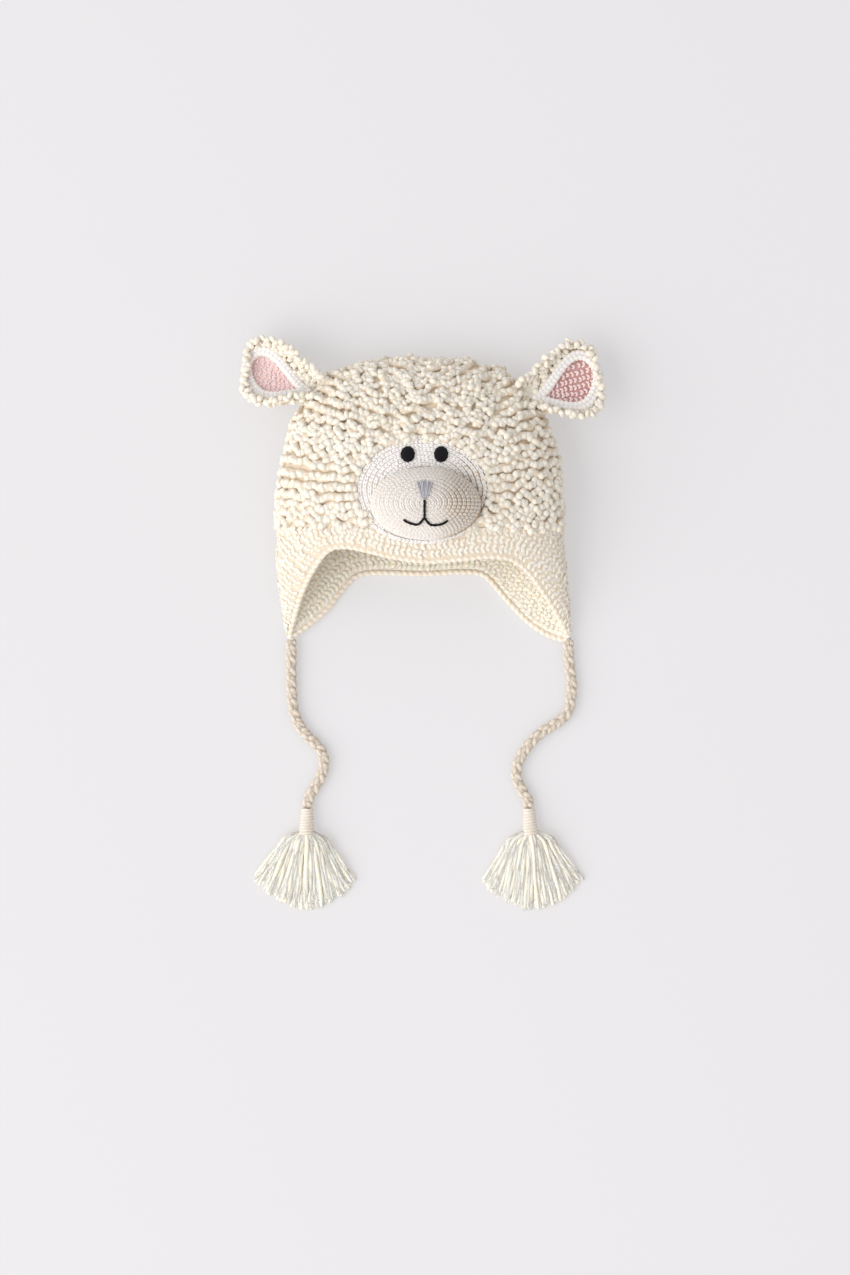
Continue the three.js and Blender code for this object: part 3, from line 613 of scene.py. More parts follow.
def crown_line(row):
    """The line of one round of loops: it swings to and fro over the crown, and sinks under the face."""
    share = (row + 0.5) / ROPE_ROWS
    length = ring_of(CROWN, share, 2)[1]
    steps = max(24, int(length / ROPE_STEP))
    turn = ring_of(CROWN, share, steps + 1)[0][:-1]
    flat = np.full(steps, share)
    base = on_sheet(CROWN["points"], flat, turn)
    normal = unit(on_sheet(CROWN["normals"], flat, turn))
    ahead = unit(np.roll(base, -1, 0) - np.roll(base, 1, 0))
    across = unit(np.cross(ahead, normal))
    high = smooth_step(np.full(steps, share), 0.15, 0.55)
    way = np.arange(steps) / steps - np.interp(np.pi / 2, turn, np.arange(steps)) / steps
    # Each drift changes over as many millimetres as its first number says
    phase = TAU * round(length / ROPE_WAVE) * way
    phase = phase + 2.4 * drift(base, 30, 11) + 2.2 * high * drift(base, 9, 17)
    swing = ROPE_SWING * np.clip(0.9 + 0.6 * drift(base, 17, 12), 0.15, 1.6) * np.sin(phase)
    swing = swing + 0.9 * drift(base, 14, 13) + (0.2 + 1.1 * high) * drift(base, 5, 14)
    line = base + across * swing[:, None]
    under = smooth_step(-normal[:, 2], 0.3, 0.85)
    lift = (ROPE_HEIGHT + (0.4 + 0.6 * high) * drift(base, 5, 15)) * (1 - under)
    out = in_ellipse(line[:, 0], line[:, 1], FACE_MIDDLE, (FACE_HALF[0] - 1, FACE_HALF[1] - 2))
    clear = np.where(normal[:, 2] > 0, smooth_step(out, 0.965, 1.0), 1)
    line = line + normal * (lift * clear - 3 * (1 - clear))[:, None]
    return {
        "line": line, "normal": normal, "across": across, "high": high, "clear": clear,
        "size": 0.25 + 0.75 * clear, "root": ROPE_ROOT * (1 - 0.6 * under), "flat": 1 - 0.55 * under,
    }


def crown_rope(round_):
    """The edge of one round's ruffle, under its lumps, with a wall down to the fabric."""

    def outline(i, angle):
        up = np.sin(angle)
        to_side = ROPE_WIDE * round_["size"][i] * np.cos(angle) * (1 - 0.2 * np.clip(-up, 0, 1))
        to_up = np.where(up > 0, ROPE_TALL * round_["size"][i], round_["root"][i]) * up
        # An even painted shade over the ruffle's edge, under the lumps
        return to_side, to_up, np.full(len(i), 0.35)

    return tube("rope", round_["line"], round_["normal"], outline, ROPE_SIDES, True, round_["across"])


def crown_lumps(name, rounds, seed):
    """The lumps of yarn that the loops show: they lean to and fro along each round."""
    rng = np.random.default_rng(seed)
    rows = []
    for round_ in rounds:
        columns = ("line", "normal", "across", "high", "clear", "flat")
        table = np.column_stack([round_[column] for column in columns])
        table = np.vstack([table, table[:1]])
        way = way_along(table[:, :3])
        count = 2 * round(way[-1] / LUMP_STEP / 2)
        places = (np.arange(count) + rng.normal(0, 0.12, count)) / count * way[-1]
        table = np.stack([np.interp(places, way, column, period=way[-1]) for column in table.T], 1)
        line, normal, across = table[:, :3], unit(table[:, 3:6]), unit(table[:, 6:9])
        high, clear, flat = table[:, 9:].T
        lean = np.where(np.arange(count) % 2, 1, -1)
        spot = line + across * (0.45 * lean)[:, None]
        spot = spot + normal * ((LUMP_LIFT + rng.normal(0, 0.3, count)) * flat)[:, None]
        slant = (LUMP_SLANT[0] * (1 - high) + LUMP_SLANT[1] * high) * lean * rng.normal(1, 0.35, count)
        along = unit(np.cross(normal, across) + across * slant[:, None])
        size = np.outer(1 - high, LUMP_LOW) + np.outer(high, LUMP_HIGH)
        size[:, 2] *= flat
        # 0.8: how strong the painted shade under the lumps is
        rows.append([*(each[clear > 0.6] for each in (spot, normal, along, size)), 0.8])
    return repeated(name, LUMP, rows, 0.17)


def on_the_floor(mesh):
    """Flattens what would reach below the surface that the hat lies on."""
    points = coordinates(mesh)
    points[:, 2] = np.maximum(points[:, 2], 0)
    mesh.vertices.foreach_set("co", points.ravel())


def crown_fabric():
    """The crown's wall: up its outside to the top, and back down its inside."""

    def place(u, v):
        turn = u * TAU
        outside = v < 0.5
        share = np.clip(np.where(outside, v / 0.49, (1 - v) / 0.49), 0, 1)
        closing = np.isclose(v, 0.5)
        base = on_sheet(CROWN["points"], share, turn)
        normal = unit(on_sheet(CROWN["normals"], share, turn))
        point = base + normal * np.where(outside, CROWN_OUT, -CROWN_IN)[:, None]
        top = on_sheet(CROWN["points"], np.ones_like(share), turn)
        inner_top = top - np.array([0, CROWN_IN, 0])
        near_top = smooth_step(share, 0.9, 1)[:, None]
        tip = np.where(outside[:, None] | closing[:, None], top, inner_top)
        point = point * (1 - near_top) + tip * near_top
        point[:, 1] = np.maximum(point[:, 1], BAND_Y + SEAM_GAP / 2)
        point[:, 2] = np.maximum(point[:, 2], 0)
        # Painted shade on the fabric under the ruffles, more outside than inside
        return point, np.where(outside, 0.35, 0.15)

    return shaped_grid("crown_fabric", (180, 96), place, (430, 250))


print("crown")
rounds = [crown_line(row) for row in range(ROPE_ROWS)]
for name, first, last in (("lower", 0, 8), ("middle", 8, 16), ("upper", 16, ROPE_ROWS)):
    mesh = joined(f"crown_ruffle_{name}", *[crown_rope(each) for each in rounds[first:last]])
    on_the_floor(mesh)
    add_piece(f"crown_ruffle_{name}", mesh, wool, "crown")
    mesh = crown_lumps(f"crown_loops_{name}", rounds[first:last], 20 + first)
    on_the_floor(mesh)
    add_piece(f"crown_loops_{name}", mesh, wool, "crown")
add_piece("crown_fabric", joined("crown_fabric", crown_fabric()), wool, "crown")


# The band and the ear flaps


BAND_STITCH = (3.7, 4.9, 1.25)
BAND_ROW = 5.6
SHELL_WALL = 2.6
SHELL_IN = 0.15  # how far the fabric's outside lies in from the band's bare surface
WAY_DROP = 20  # how far down the band the way round it is measured
EDGE_RADIUS = 1.95
EDGE_STITCH = 4.2


def edge_line(count):
    """The lower edge in the plane of way round and drop, and the turn at each way round."""
    turn = np.linspace(0, TAU, 1441)
    way = way_along(band_point(np.full_like(turn, WAY_DROP), turn))
    turns = np.linspace(0, TAU, count, endpoint=False)
    return np.stack([np.interp(turns, turn, way), edge_drop(turns)], 1), way, turn


def band_rows(first, rows):
    """Rows of stitches that follow the edge, as places round and down the band."""
    edge, way, turn = edge_line(900)
    total = way[-1]
    tripled = np.vstack([edge - (total, 0), edge, edge + (total, 0)])
    ahead = unit(np.gradient(tripled, axis=0))
    inward = np.stack([-ahead[:, 1], ahead[:, 0]], 1)
    inward *= np.where(inward[:, 1:] > 0, -1, 1)
    lines = []
    for row in range(rows):
        far = first + row * BAND_ROW
        moved = tripled + inward * far
        gaps = np.linalg.norm(moved[:, None] - tripled[None, ::3], axis=2).min(1)
        inside = (moved[:, 0] >= 0) & (moved[:, 0] < total)
        keep = moved[(gaps > far - 0.25) & inside]
        keep = keep[np.argsort(keep[:, 0])]
        if len(keep) < 8:
            continue
        keep = np.vstack([keep, keep[:1] + (total, 0)])
        length = way_along(keep)[-1]
        even = evenly(keep, 2 * int(length / BAND_STITCH[0]) + 1)[row % 2:-1:2]
        lines.append((np.interp(even[:, 0] % total, way, turn), even[:, 1]))
    return lines


def band_stitches(name, inside):
    """The band's stitches on its outside or its inside, with one row along the seam with the crown."""
    # The last value is how strong the painted shade under the stitches is: weaker inside
    side, sunk, shade_amount = (-1, SHELL_WALL + SHELL_IN, 0.1) if inside else (1, 0.2, 0.45)
    rows = []
    seam_turn = np.linspace(0, TAU, 108, endpoint=False)
    for turn, drop in [*band_rows(5.4, 13), (seam_turn, np.full(108, 1.6))]:
        below_seam = drop > 1
        turn, drop = turn[below_seam], drop[below_seam]
        if not len(turn):
            continue
        point, normal = band_point(drop, turn), band_normal(drop, turn)
        ahead = np.gradient(point, axis=0)
        near = np.linalg.norm(ahead, axis=1) < 2.2 * BAND_STITCH[0]
        rows.append((
            (point - normal * sunk)[near], side * normal[near], unit(ahead)[near], BAND_STITCH, shade_amount,
        ))
    return repeated(name, CHAIN, rows, 0.16)


def brim_fabric():
    """The band's wall: down its outside, round the edge, up its inside and back to where it began."""
    down, fold = 0.42, 0.12
    above_edge = 1.2

    def place(u, v):
        turn = u * TAU
        share = np.clip(np.where(v < down + fold / 2, v, 2 * down + fold - v) / down, 0, 1)
        bend = np.clip((v - down) / fold, 0, 1)
        inset = np.where(v > 0.99, SHELL_IN, SHELL_IN + (SHELL_WALL - SHELL_IN) * bend)
        share = np.where(v > 0.965, 0, share)
        drop = SEAM_GAP / 2 + (edge_drop(turn) - above_edge - SEAM_GAP / 2) * share
        point = band_point(drop, turn) - band_normal(drop, turn) * inset[:, None]
        point[:, 1] = BAND_Y - drop
        point[:, 2] = np.maximum(point[:, 2], 0)
        # Painted shade on the outside fabric between the stitches, none inside
        return point, np.where(v < down + fold / 2, 0.4, 0.0)

    return shaped_grid("brim_fabric", (240, 50), place, (400, 120))


def brim_edge():
    """The thick rolled round that finishes the band's and the flaps' edge."""
    turn = np.linspace(0, TAU, 4001)
    line = band_point(edge_drop(turn), turn) - band_normal(edge_drop(turn), turn) * BAND_WALL * 0.45
    line = evenly(line, 760)[:-1]
    middle, half = (3, 18), (92, 24)
    round_hat = np.arctan2((line[:, 2] - middle[1]) / half[1], (line[:, 0] - middle[0]) / half[0])
    out = unit(np.stack([np.cos(round_hat) / half[0], np.zeros(len(line)), np.sin(round_hat) / half[1]], 1))
    turns = np.arange(len(line)) / len(line) * round(way_along(line)[-1] / EDGE_STITCH)

    def outline(i, angle):
        slanted = np.sin(turns[i] * TAU + angle)
        fat = EDGE_RADIUS * (1 + 0.1 * slanted)
        # Painted shade in the grooves between the roll's stitches
        return fat * np.cos(angle), fat * np.sin(angle), np.clip(0.25 - 0.5 * slanted, 0, 1) * 0.5

    return tube("brim_edge", line, out, outline, 12, True)


print("band")
mesh = joined("brim_fabric", brim_fabric())
add_piece("brim_fabric", mesh, wool, "brim")
mesh = joined("brim_edge", brim_edge())
on_the_floor(mesh)
add_piece("brim_edge", mesh, wool, "brim")
for name, inside in (("brim_stitches", False), ("brim_inner_stitches", True)):
    mesh = band_stitches(name, inside)
    on_the_floor(mesh)
    add_piece(name, mesh, inner_wool_painted_light if inside else wool, "brim")


# The face


def face_top(x, y):
    """Height of the patch's top over the plan."""
    return front_height(x, y) + SEAT_GAP + FACE_WALL


def round_pad(name, middle, half, steps, under, over, size, painted_shade):
    """A closed pad over an ellipse of the plan, by the heights of its top and underside, and how much
    painted shade it gets across it."""

    def place(u, v):
        angle = u * TAU
        top = v < 0.75
        share = np.where(top, np.sin(np.clip(v / 0.74, 0, 1) * np.pi / 2), (1 - v) / 0.25).clip(0, 1)
        x = middle[0] + share * half[0] * np.cos(angle)
        y = middle[1] + share * half[1] * np.sin(angle)
        return np.stack([x, y, np.where(top, over(x, y), under(x, y))], 1), painted_shade(x)

    return shaped_grid(name, steps, place, size)


FACE_STITCH = (3.1, 2.35, 1.6)
FACE_STEP = 2.5
FACE_SHADE = (16, 34)  # from where to where, to the right, the painted shade on the patch and its stitches grows, for the muzzle's shadow


def face_patch():
    """The patch's fabric, a little lower than its stitches and thinner at its edge."""

    def under(x, y):
        return front_height(x, y) + SEAT_GAP

    def over(x, y):
        thinner = smooth_step(in_ellipse(x, y, FACE_MIDDLE, FACE_HALF), 0.93, 1)
        return face_top(x, y) - 0.9 - 0.8 * thinner

    # Painted shade on the patch, stronger to the right where the muzzle shades it
    return round_pad("face_patch", FACE_MIDDLE, FACE_HALF, (96, 32), under, over, (240, 40),
                     lambda x: 0.35 + 0.6 * smooth_step(x, *FACE_SHADE))


def ellipse_ring(middle, half, share, width):
    """Evenly spaced places round an ellipse, and the direction round it."""
    angle = np.linspace(0, TAU, 721)
    line = np.stack([middle[0] + share * half[0] * np.cos(angle),
                     middle[1] + share * half[1] * np.sin(angle)], 1)
    count = max(6, round(way_along(line)[-1] / width))
    even = evenly(line, count + 1)[:-1]
    return even, unit(np.roll(even, -1, 0) - np.roll(even, 1, 0))


def plan_normal(height, x, y):
    """The upward normal of a surface that is given as a height over the plan."""
    dx = height(x + 0.5, y) - height(x - 0.5, y)
    dy = height(x, y + 0.5) - height(x, y - 0.5)
    return unit(np.stack([-dx, -dy, np.ones_like(x)], 1))


def face_stitches():
    """Rings of stitches round the patch, where the muzzle doesn't cover it."""
    rows = []
    for ring in range(8):
        even, ahead = ellipse_ring(FACE_MIDDLE, FACE_HALF, 0.985 - ring * 0.074, FACE_STEP)
        out = in_ellipse(even[:, 0], even[:, 1], MUZZLE_MIDDLE, MUZZLE_HALF) > 0.99
        x, y = even[out].T
        # The last value is the painted shade under the stitches, stronger to the right
        rows.append((
            np.stack([x, y, face_top(x, y) - 0.75], 1), plan_normal(face_top, x, y),
            np.column_stack([ahead[out], np.zeros_like(x)]), FACE_STITCH,
            0.7 + 0.5 * smooth_step(x, *FACE_SHADE),
        ))
    return repeated("face_stitches", RIDGE, rows, 0.1)


def stuffed(mesh, frames=20, pressure=1.6, cap=3.0):
    """Presses the muzzle's cover outwards as its filling does, with its sewn edge held in place and no
    point moved further than cap, in mm. At this pressure it moves by 0.01 mm at most, so its roundness
    is that of the dome it starts from."""
    scene = bpy.context.scene
    cover = bpy.data.objects.new("stuffing_trial", mesh)
    scene.collection.objects.link(cover)
    base = coordinates(mesh)
    x, y, z = base.T / MM
    out = in_ellipse(x, y, MUZZLE_MIDDLE, MUZZLE_HALF)
    low = z < face_top(x, y) + SEAT_GAP + 1.2
    held = cover.vertex_groups.new(name="held")
    held.add(np.flatnonzero((out > 0.99) | low).tolist(), 1.0, "ADD")
    cloth = cover.modifiers.new("stuffing", "CLOTH")
    cloth.settings.vertex_group_mass = "held"
    cloth.settings.use_pressure = True
    cloth.settings.uniform_pressure_force = pressure
    cloth.settings.quality = 6
    cloth.settings.tension_stiffness = 25
    cloth.settings.compression_stiffness = 25
    cloth.settings.effector_weights.gravity = 0
    cloth.point_cache.frame_start = 1
    cloth.point_cache.frame_end = frames
    for number in range(1, frames + 1):
        scene.frame_set(number)
    view = cover.evaluated_get(bpy.context.evaluated_depsgraph_get())
    shift = coordinates(view.data) - base
    far = np.linalg.norm(shift, axis=1, keepdims=True)
    shift *= np.minimum(1, cap * MM / np.maximum(far, 1e-9))
    mesh.vertices.foreach_set("co", (base + shift).ravel())
    bpy.data.objects.remove(cover)
    scene.frame_set(1)
    print("stuffing moved the cover by up to", round(float(far.max() / MM), 2), "mm")


def muzzle_cover():
    """The muzzle under its stitches, a little lower than the solid that it replaces."""

    def under(x, y):
        return face_top(x, y) + SEAT_GAP

    def over(x, y):
        share = np.minimum(1, in_ellipse(x, y, MUZZLE_MIDDLE, MUZZLE_HALF))
        dome = (1 - share**MUZZLE_ROUND) ** MUZZLE_STEEP
        return under(x, y) + MUZZLE_EDGE + (MUZZLE_RISE - 2.4) * dome - 0.6

    # Painted shade on the cover, stronger to the right, away from the light
    return round_pad("muzzle", MUZZLE_MIDDLE, MUZZLE_HALF, (64, 28), under, over, (190, 60),
                     lambda x: 0.2 + 0.8 * smooth_step(x, *MUZZLE_SHADE))


def muzzle_sheet(mesh):
    """The stuffed cover's surface by turn and share of the way from its middle to its edge."""
    tree = BVHTree.FromPolygons([v.co for v in mesh.vertices], [list(p.vertices) for p in mesh.polygons])
    start = Vector((*MUZZLE_MIDDLE, MUZZLE_INSIDE)) * MM
    rows = []
    for tilt in np.radians(np.linspace(2, 90, 40)):
        ring = []
        for turn in np.linspace(0, TAU, 73):
            way = Vector((np.cos(turn) * np.cos(tilt) * MUZZLE_HALF[0] / MUZZLE_RISE,
                          np.sin(turn) * np.cos(tilt) * MUZZLE_HALF[1] / MUZZLE_RISE, np.sin(tilt)))
            ring.append([c / MM for c in tree.ray_cast(start, way)[0]])
        rows.append(ring)
    return make_sheet(np.array(rows)), tree


MUZZLE_RINGS = 12
MUZZLE_STITCH = (2.35, 0.8, 2.8)
STITCH_OVERLAP = 1.6
# From where to where, to the right, the stitches draw apart and the muzzle's painted shade grows
MUZZLE_SHADE = (6, 26)
MUZZLE_INSIDE = 60.5  # height of a point inside the muzzle that sees all of its cover


def muzzle_stitches(sheet):
    """Rings of stitches, each as high as its ring is wide there, with a fine groove between rings.
    Towards the right they are drawn apart, so that gaps show between them, and painted shade darkens them
    there."""
    long, tall, rise = MUZZLE_STITCH
    rows = []
    for ring in range(MUZZLE_RINGS):
        share = (ring + 0.45) / MUZZLE_RINGS
        count = max(5, round(ring_of(sheet, share, 2)[1] / long))
        turn = ring_of(sheet, share, count + 1)[0][:-1]
        reach = 0.5 / MUZZLE_RINGS
        inner, point, outer = (
            on_sheet(sheet["points"], np.full(count, share + k * reach), turn) for k in (-0.9, 0, 0.9)
        )
        normal = unit(on_sheet(sheet["normals"], np.full(count, share), turn))
        apart = smooth_step(point[:, 0], *MUZZLE_SHADE)
        high = np.linalg.norm(outer - inner, axis=1) * tall * (1 - 0.08 * apart)
        size = np.stack([long * (STITCH_OVERLAP - 0.6 * apart), high, np.full(count, rise)], 1)
        along = unit(np.roll(point, -1, 0) - np.roll(point, 1, 0))
        # The last value is the painted shade under the stitches, stronger to the right
        rows.append((point + normal * 0.1, normal, along, size, 0.5 + 0.5 * apart))
    return repeated("muzzle_stitches", RIDGE, rows, 0.05)


print("face")
add_piece("face_patch_cloth", joined("face_patch", face_patch()), cotton, "face_patch")
add_piece("face_stitches", face_stitches(), cotton, "face_patch")
cover_mesh = joined("muzzle_cover", muzzle_cover())
stuffed(cover_mesh)
MUZZLE, MUZZLE_TREE = muzzle_sheet(cover_mesh)
cover = add_piece("muzzle_cover", cover_mesh, cotton, "muzzle")
add_piece("muzzle_stitches", muzzle_stitches(MUZZLE), cotton, "muzzle")


def over_muzzle(x, y):
    """Points of the muzzle's surface under places in the plan, and its normals."""
    hits = [MUZZLE_TREE.ray_cast(Vector((*place, 200)) * MM, Vector((0, 0, -1))) for place in zip(x, y)]
    return np.array([hit[0] for hit in hits]) / MM, np.array([hit[1] for hit in hits])


def eye(side):
    """A crocheted black disc, domed, with a round of stitches along its edge."""
    middle = (FEATURES_X + side * EYE_SPACING / 2, EYE_Y)

    def place(u, v):
        angle = u * TAU
        share = np.clip(np.where(v < 0.8, v / 0.79, (1 - v) / 0.2), 0, 1)
        wave = 1 + 0.03 * np.sin(11 * angle) * share
        x = middle[0] + share * EYE_HALF[0] * np.cos(angle) * wave
        y = middle[1] + share * EYE_HALF[1] * np.sin(angle) * wave
        rings = 0.16 * np.sin(share * 3.2 * TAU) * np.sin(11 * angle + 4 * share)
        top = 0.5 + 1.8 * (1 - share**2.5) + rings * (1 - share)
        z = face_top(x, y) + 0.2 + np.where(v < 0.8, top, -0.2)
        return np.stack([x, y, z], 1), np.zeros_like(u)

    return shaped_grid("eye", (66, 30), place, (30, 6))


def nose():
    """Grey satin stitch: a fan of long threads over the muzzle, wide above and narrow below."""
    parts = []
    for k in range(NOSE_THREADS):
        share = 2 * k / (NOSE_THREADS - 1) - 1
        # Painted shade between the threads: on each thread's lower side, stronger on every third thread
        shade_amount = 0.4 + 0.4 * (k % 3 == 1)
        top = (FEATURES_X + share * NOSE_HALF_TOP, NOSE_TOP - 0.9 * share**2 - 0.5 * (k % 2))
        end = (FEATURES_X + share * NOSE_HALF_BOTTOM, NOSE_BOTTOM + 0.6 * share**2)
        t = np.linspace(0, 1, 18)
        line, normal = over_muzzle(top[0] + (end[0] - top[0]) * t, top[1] + (end[1] - top[1]) * t)
        arch = np.sin(np.pi * t).clip(0) ** 0.5
        line = line + normal * (0.2 + NOSE_LIFT * arch)[:, None]
        thick = round_ends(18, NOSE_TOP - NOSE_BOTTOM, 1.0)
        wide = (NOSE_HALF_TOP + (NOSE_HALF_BOTTOM - NOSE_HALF_TOP) * t) / NOSE_THREADS * 1.05 + 0.05

        def outline(i, angle):
            to_side = thick[i] * wide[i] * np.cos(angle)
            return to_side, thick[i] * 0.8 * np.sin(angle), np.clip(shade_amount - 0.4 * np.sin(angle), 0, 1)

        parts.append(tube("thread", line, normal, outline, 8, False))
    return joined("nose", *parts)


def mouth():
    """Black back stitches over the muzzle: one upright and two bent lips."""
    x, y = FEATURES_X, MOUTH_FORK
    lines = (
        ((x, NOSE_BOTTOM - 0.2), (x + 0.1, -27), (x, y)),
        ((x + 0.1, y + 0.6), (-0.7, -36.0), (-4.5, -35.9), (-8.1, -34.6), (-10.2, -33.0)),
        ((x - 0.1, y + 0.6), (6.2, -36.1), (10.5, -36.6), (14.6, -35.6), (17.7, -33.6)),
    )
    parts = []
    for points in lines:
        line, normal = over_muzzle(*smooth_line(points, 40).T)
        line = line + normal * 1.35
        length = way_along(line)[-1]
        thick, turns = round_ends(40, length, 0.8), np.linspace(0, -length / 3.2, 40)
        parts.append(strand(line, normal, MOUTH_THREAD / 2, thick, turns, 0.12, 8,
                            lambda angle, ply: np.zeros_like(angle)))
    return joined("mouth", *parts)


for side, sign in (("left", -1), ("right", 1)):
    add_piece(f"eye_{side}_disc", joined("eye", eye(sign)), black, f"eye_{side}")
add_piece("nose_threads", nose(), grey, "nose")
add_piece("mouth_thread", mouth(), black, "mouth")


# The ears


def ear_frame(ear):
    """The root, the three axes and the openness of an ear."""
    root = crown_section(np.array([ear["row"] * PROFILE["way"][-1]]), np.array([np.radians(ear["turn"])]))[0]
    heading, droop, roll = (np.radians(ear[k]) for k in ("heading", "droop", "roll"))
    along = np.array([np.cos(heading) * np.cos(droop), np.sin(heading) * np.cos(droop), np.sin(droop)])
    up = unit(np.array([0, 0, 1]) - along * along[2])
    up = up * np.cos(roll) + np.cross(along, up) * np.sin(roll)
    return {**ear, "root": root, "along": along, "across": np.cross(up, along), "up": up}


def on_ear(ear, along, across, height):
    """Points over an ear's hollow face, by shares along and across it and a height above it."""
    half = read_table(EAR_SECTIONS, "along", "half", along) * ear["open"] * EAR_WIDTH / 2
    cup = read_table(EAR_SECTIONS, "along", "cup", along) * EAR_CUP / ear["open"] ** 2
    side = half * np.sin(EAR_BEND * across) / np.sin(EAR_BEND)
    far = along * (EAR_LENGTH + ear["skew"] * side) - height * np.abs(across) / 6
    up = cup * across**2 + height
    return (ear["root"] + far[..., None] * ear["along"] + side[..., None] * ear["across"]
            + up[..., None] * ear["up"])


def ear_body(ear):
    """The ear's wall, flat in section, and closed at both ends."""
    wall = 2.6

    def place(u, v):
        angle = u * TAU
        across = np.cos(angle) * 0.88
        thick = np.sign(np.sin(angle)) * np.abs(np.sin(angle)) ** 0.5
        height = -wall / 2 - 0.3 + wall / 2 * thick
        along = -0.02 + 0.95 * v
        closing = np.isclose(v, 0) | np.isclose(v, 1)
        across = np.where(closing, 0, across)
        height = np.where(closing, -wall / 2, height)
        # An even painted shade on the ear's wall
        return on_ear(ear, along, across, height), np.full_like(u, 0.25)

    return shaped_grid("ear", (48, 40), place, (90, 54))


def ear_outline(low, high, across, count):
    """Places along an ear's edge, from its root round its end and back."""
    up = np.stack([np.linspace(low, high, count), np.full(count, -across)], 1)
    back = up[::-1] * (1, -1)
    return np.vstack([up, back])


CURL_STEP = 3.3
CLEAR_OF_RIM = 2
RIM_REACH = 6.6  # how far the rim reaches out of the pink
RIM_ROUNDS = ((1.9, 2.6, 2.3), (5.0, 2.4, 2.1))


def ear_lumps(name, lines, seed):
    """Lumps of yarn along the lines of an ear, where they lie outside its rim. Each line has its points,
    how far out of the rim they lie, its upward direction and its lumps' width."""
    rng = np.random.default_rng(seed)
    rows = []
    for line, out, up, width in lines:
        way = way_along(line)
        count = max(4, round(way[-1] / CURL_STEP))
        places = np.linspace(0, way[-1], count)
        spot = np.stack([np.interp(places, way, line[:, k]) for k in range(3)], 1)
        shown = np.interp(places, way, np.broadcast_to(out, way.shape)) > 1
        lean = np.where(np.arange(count) % 2, 1, -1)[:, None]
        ahead = unit(np.gradient(spot, axis=0))
        across = unit(np.cross(ahead, up))
        spot = spot + across * 0.8 * lean + up * rng.normal(0, 0.5, (count, 1))
        along = unit(ahead + across * lean)
        # 1: full painted shade under the lumps
        rows.append((spot[shown], up, along[shown], (5.8, width, 4.1), 1))
    return repeated(name, LUMP, rows, 0.24)


def ear_curls(ear, seed):
    """The curly fabric of an ear: its edge, its back, and its front round the rim."""
    lines = []
    for height, across in ((1.4, 0.97), (-1.8, 0.94)):
        line = on_ear(ear, *ear_outline(0, 0.965, across, 60).T, height)
        lines.append((line, CLEAR_OF_RIM, ear["up"], 4.1))
    along = np.linspace(0, 0.93, 60)
    for across in (-0.7, -0.42, -0.14, 0.14, 0.42, 0.7):
        lines.append((on_ear(ear, along, across, -4), CLEAR_OF_RIM, -ear["up"], 5.2))
    along = np.linspace(0, 0.95, 120)
    for across in (-0.74, -0.58, -0.42, -0.28, -0.14, 0, 0.14, 0.28, 0.42, 0.58, 0.74):
        lines.append((on_ear(ear, along, across, 0.7), rim_reach(ear, along, across), ear["up"], 4.0))
    return ear_lumps("ear_curls", lines, seed)


def lining_middle(ear, share):
    """Where the lining's middle line lies across the ear, by the share of the way along the lining."""
    return ear["lean"] * (1 - 1.4 * share)


def lining_outline(ear, angle, size, grow):
    """A drop with its point towards the head, as shares along and across the ear."""
    out = (1 - np.cos(angle)) / 2
    reach = size * (LINING_TO - LINING_FROM) / 2 + grow / EAR_LENGTH
    spread = size * LINING_SPREAD + grow / (EAR_WIDTH / 2 * EAR_BEND)
    drop = np.sin(angle) * np.sin(angle / 2) / 0.77
    along = (LINING_FROM + LINING_TO) / 2 - reach * np.cos(angle)
    return along, lining_middle(ear, out) + spread * drop


def rim_reach(ear, along, across):
    """How far out of the rim's outer line a place on an ear is: 1 on its line."""
    angle = np.linspace(0, np.pi, 91)
    rim_along, rim_across = lining_outline(ear, angle, 1, RIM_REACH)
    rim_half = np.abs(rim_across - lining_middle(ear, (1 - np.cos(angle)) / 2))
    half = np.interp(along, rim_along, rim_half, left=0, right=0)
    share = np.clip((along - LINING_FROM) / (LINING_TO - LINING_FROM), 0, 1)
    return np.abs(across - lining_middle(ear, share)) / np.maximum(half, 1e-3)


def ear_lining(ear):
    """The pink fabric under its stitches."""

    def place(u, v):
        angle = u * TAU
        top = v < 0.7
        size = np.clip(np.where(top, v / 0.69, (1 - v) / 0.3), 0, 1)
        along, across = lining_outline(ear, angle, size, 0.8)
        height = np.where(top, 1.2, 0.2)
        # Painted shade on the pink, as the ear's shade entry says
        return on_ear(ear, along, across, height), np.full_like(u, ear["shade"])

    return shaped_grid("lining", (48, 24), place, (80, 20))


LINING_STITCH = (2.7, 2.7, 1.7)


def lining_stitches(ear):
    """Rows of stitches along the ear, as far as the lining's outline."""
    rows = []
    for across in np.arange(-0.6, 0.61, 0.125):
        along = np.linspace(LINING_FROM, LINING_TO, 200)
        angle = np.arccos(np.clip(1 - 2 * (along - LINING_FROM) / (LINING_TO - LINING_FROM), -1, 1))
        edges = [lining_outline(ear, side * angle % TAU, 1, 0)[1] for side in (1, -1)]
        along = along[(across > np.minimum(*edges)) & (across < np.maximum(*edges))]
        if len(along) < 4:
            continue
        line = on_ear(ear, along, across, 1.45)
        line = evenly(line, max(2, int(way_along(line)[-1] / LINING_STITCH[0])))
        ahead = unit(np.gradient(line, axis=0))
        slope = ear["across"] * np.cos(across) + ear["up"] * np.sin(across)
        upwards = np.sign(np.dot(np.cross(ear["along"], slope), ear["up"]))
        # The last value is the painted shade under the pink stitches, more on the ear turned from the light
        rows.append((line, unit(np.cross(ahead, slope) * upwards), ahead, LINING_STITCH,
                     0.15 + ear["shade"]))
    return repeated("lining_stitches", CHAIN, rows, 0.16)


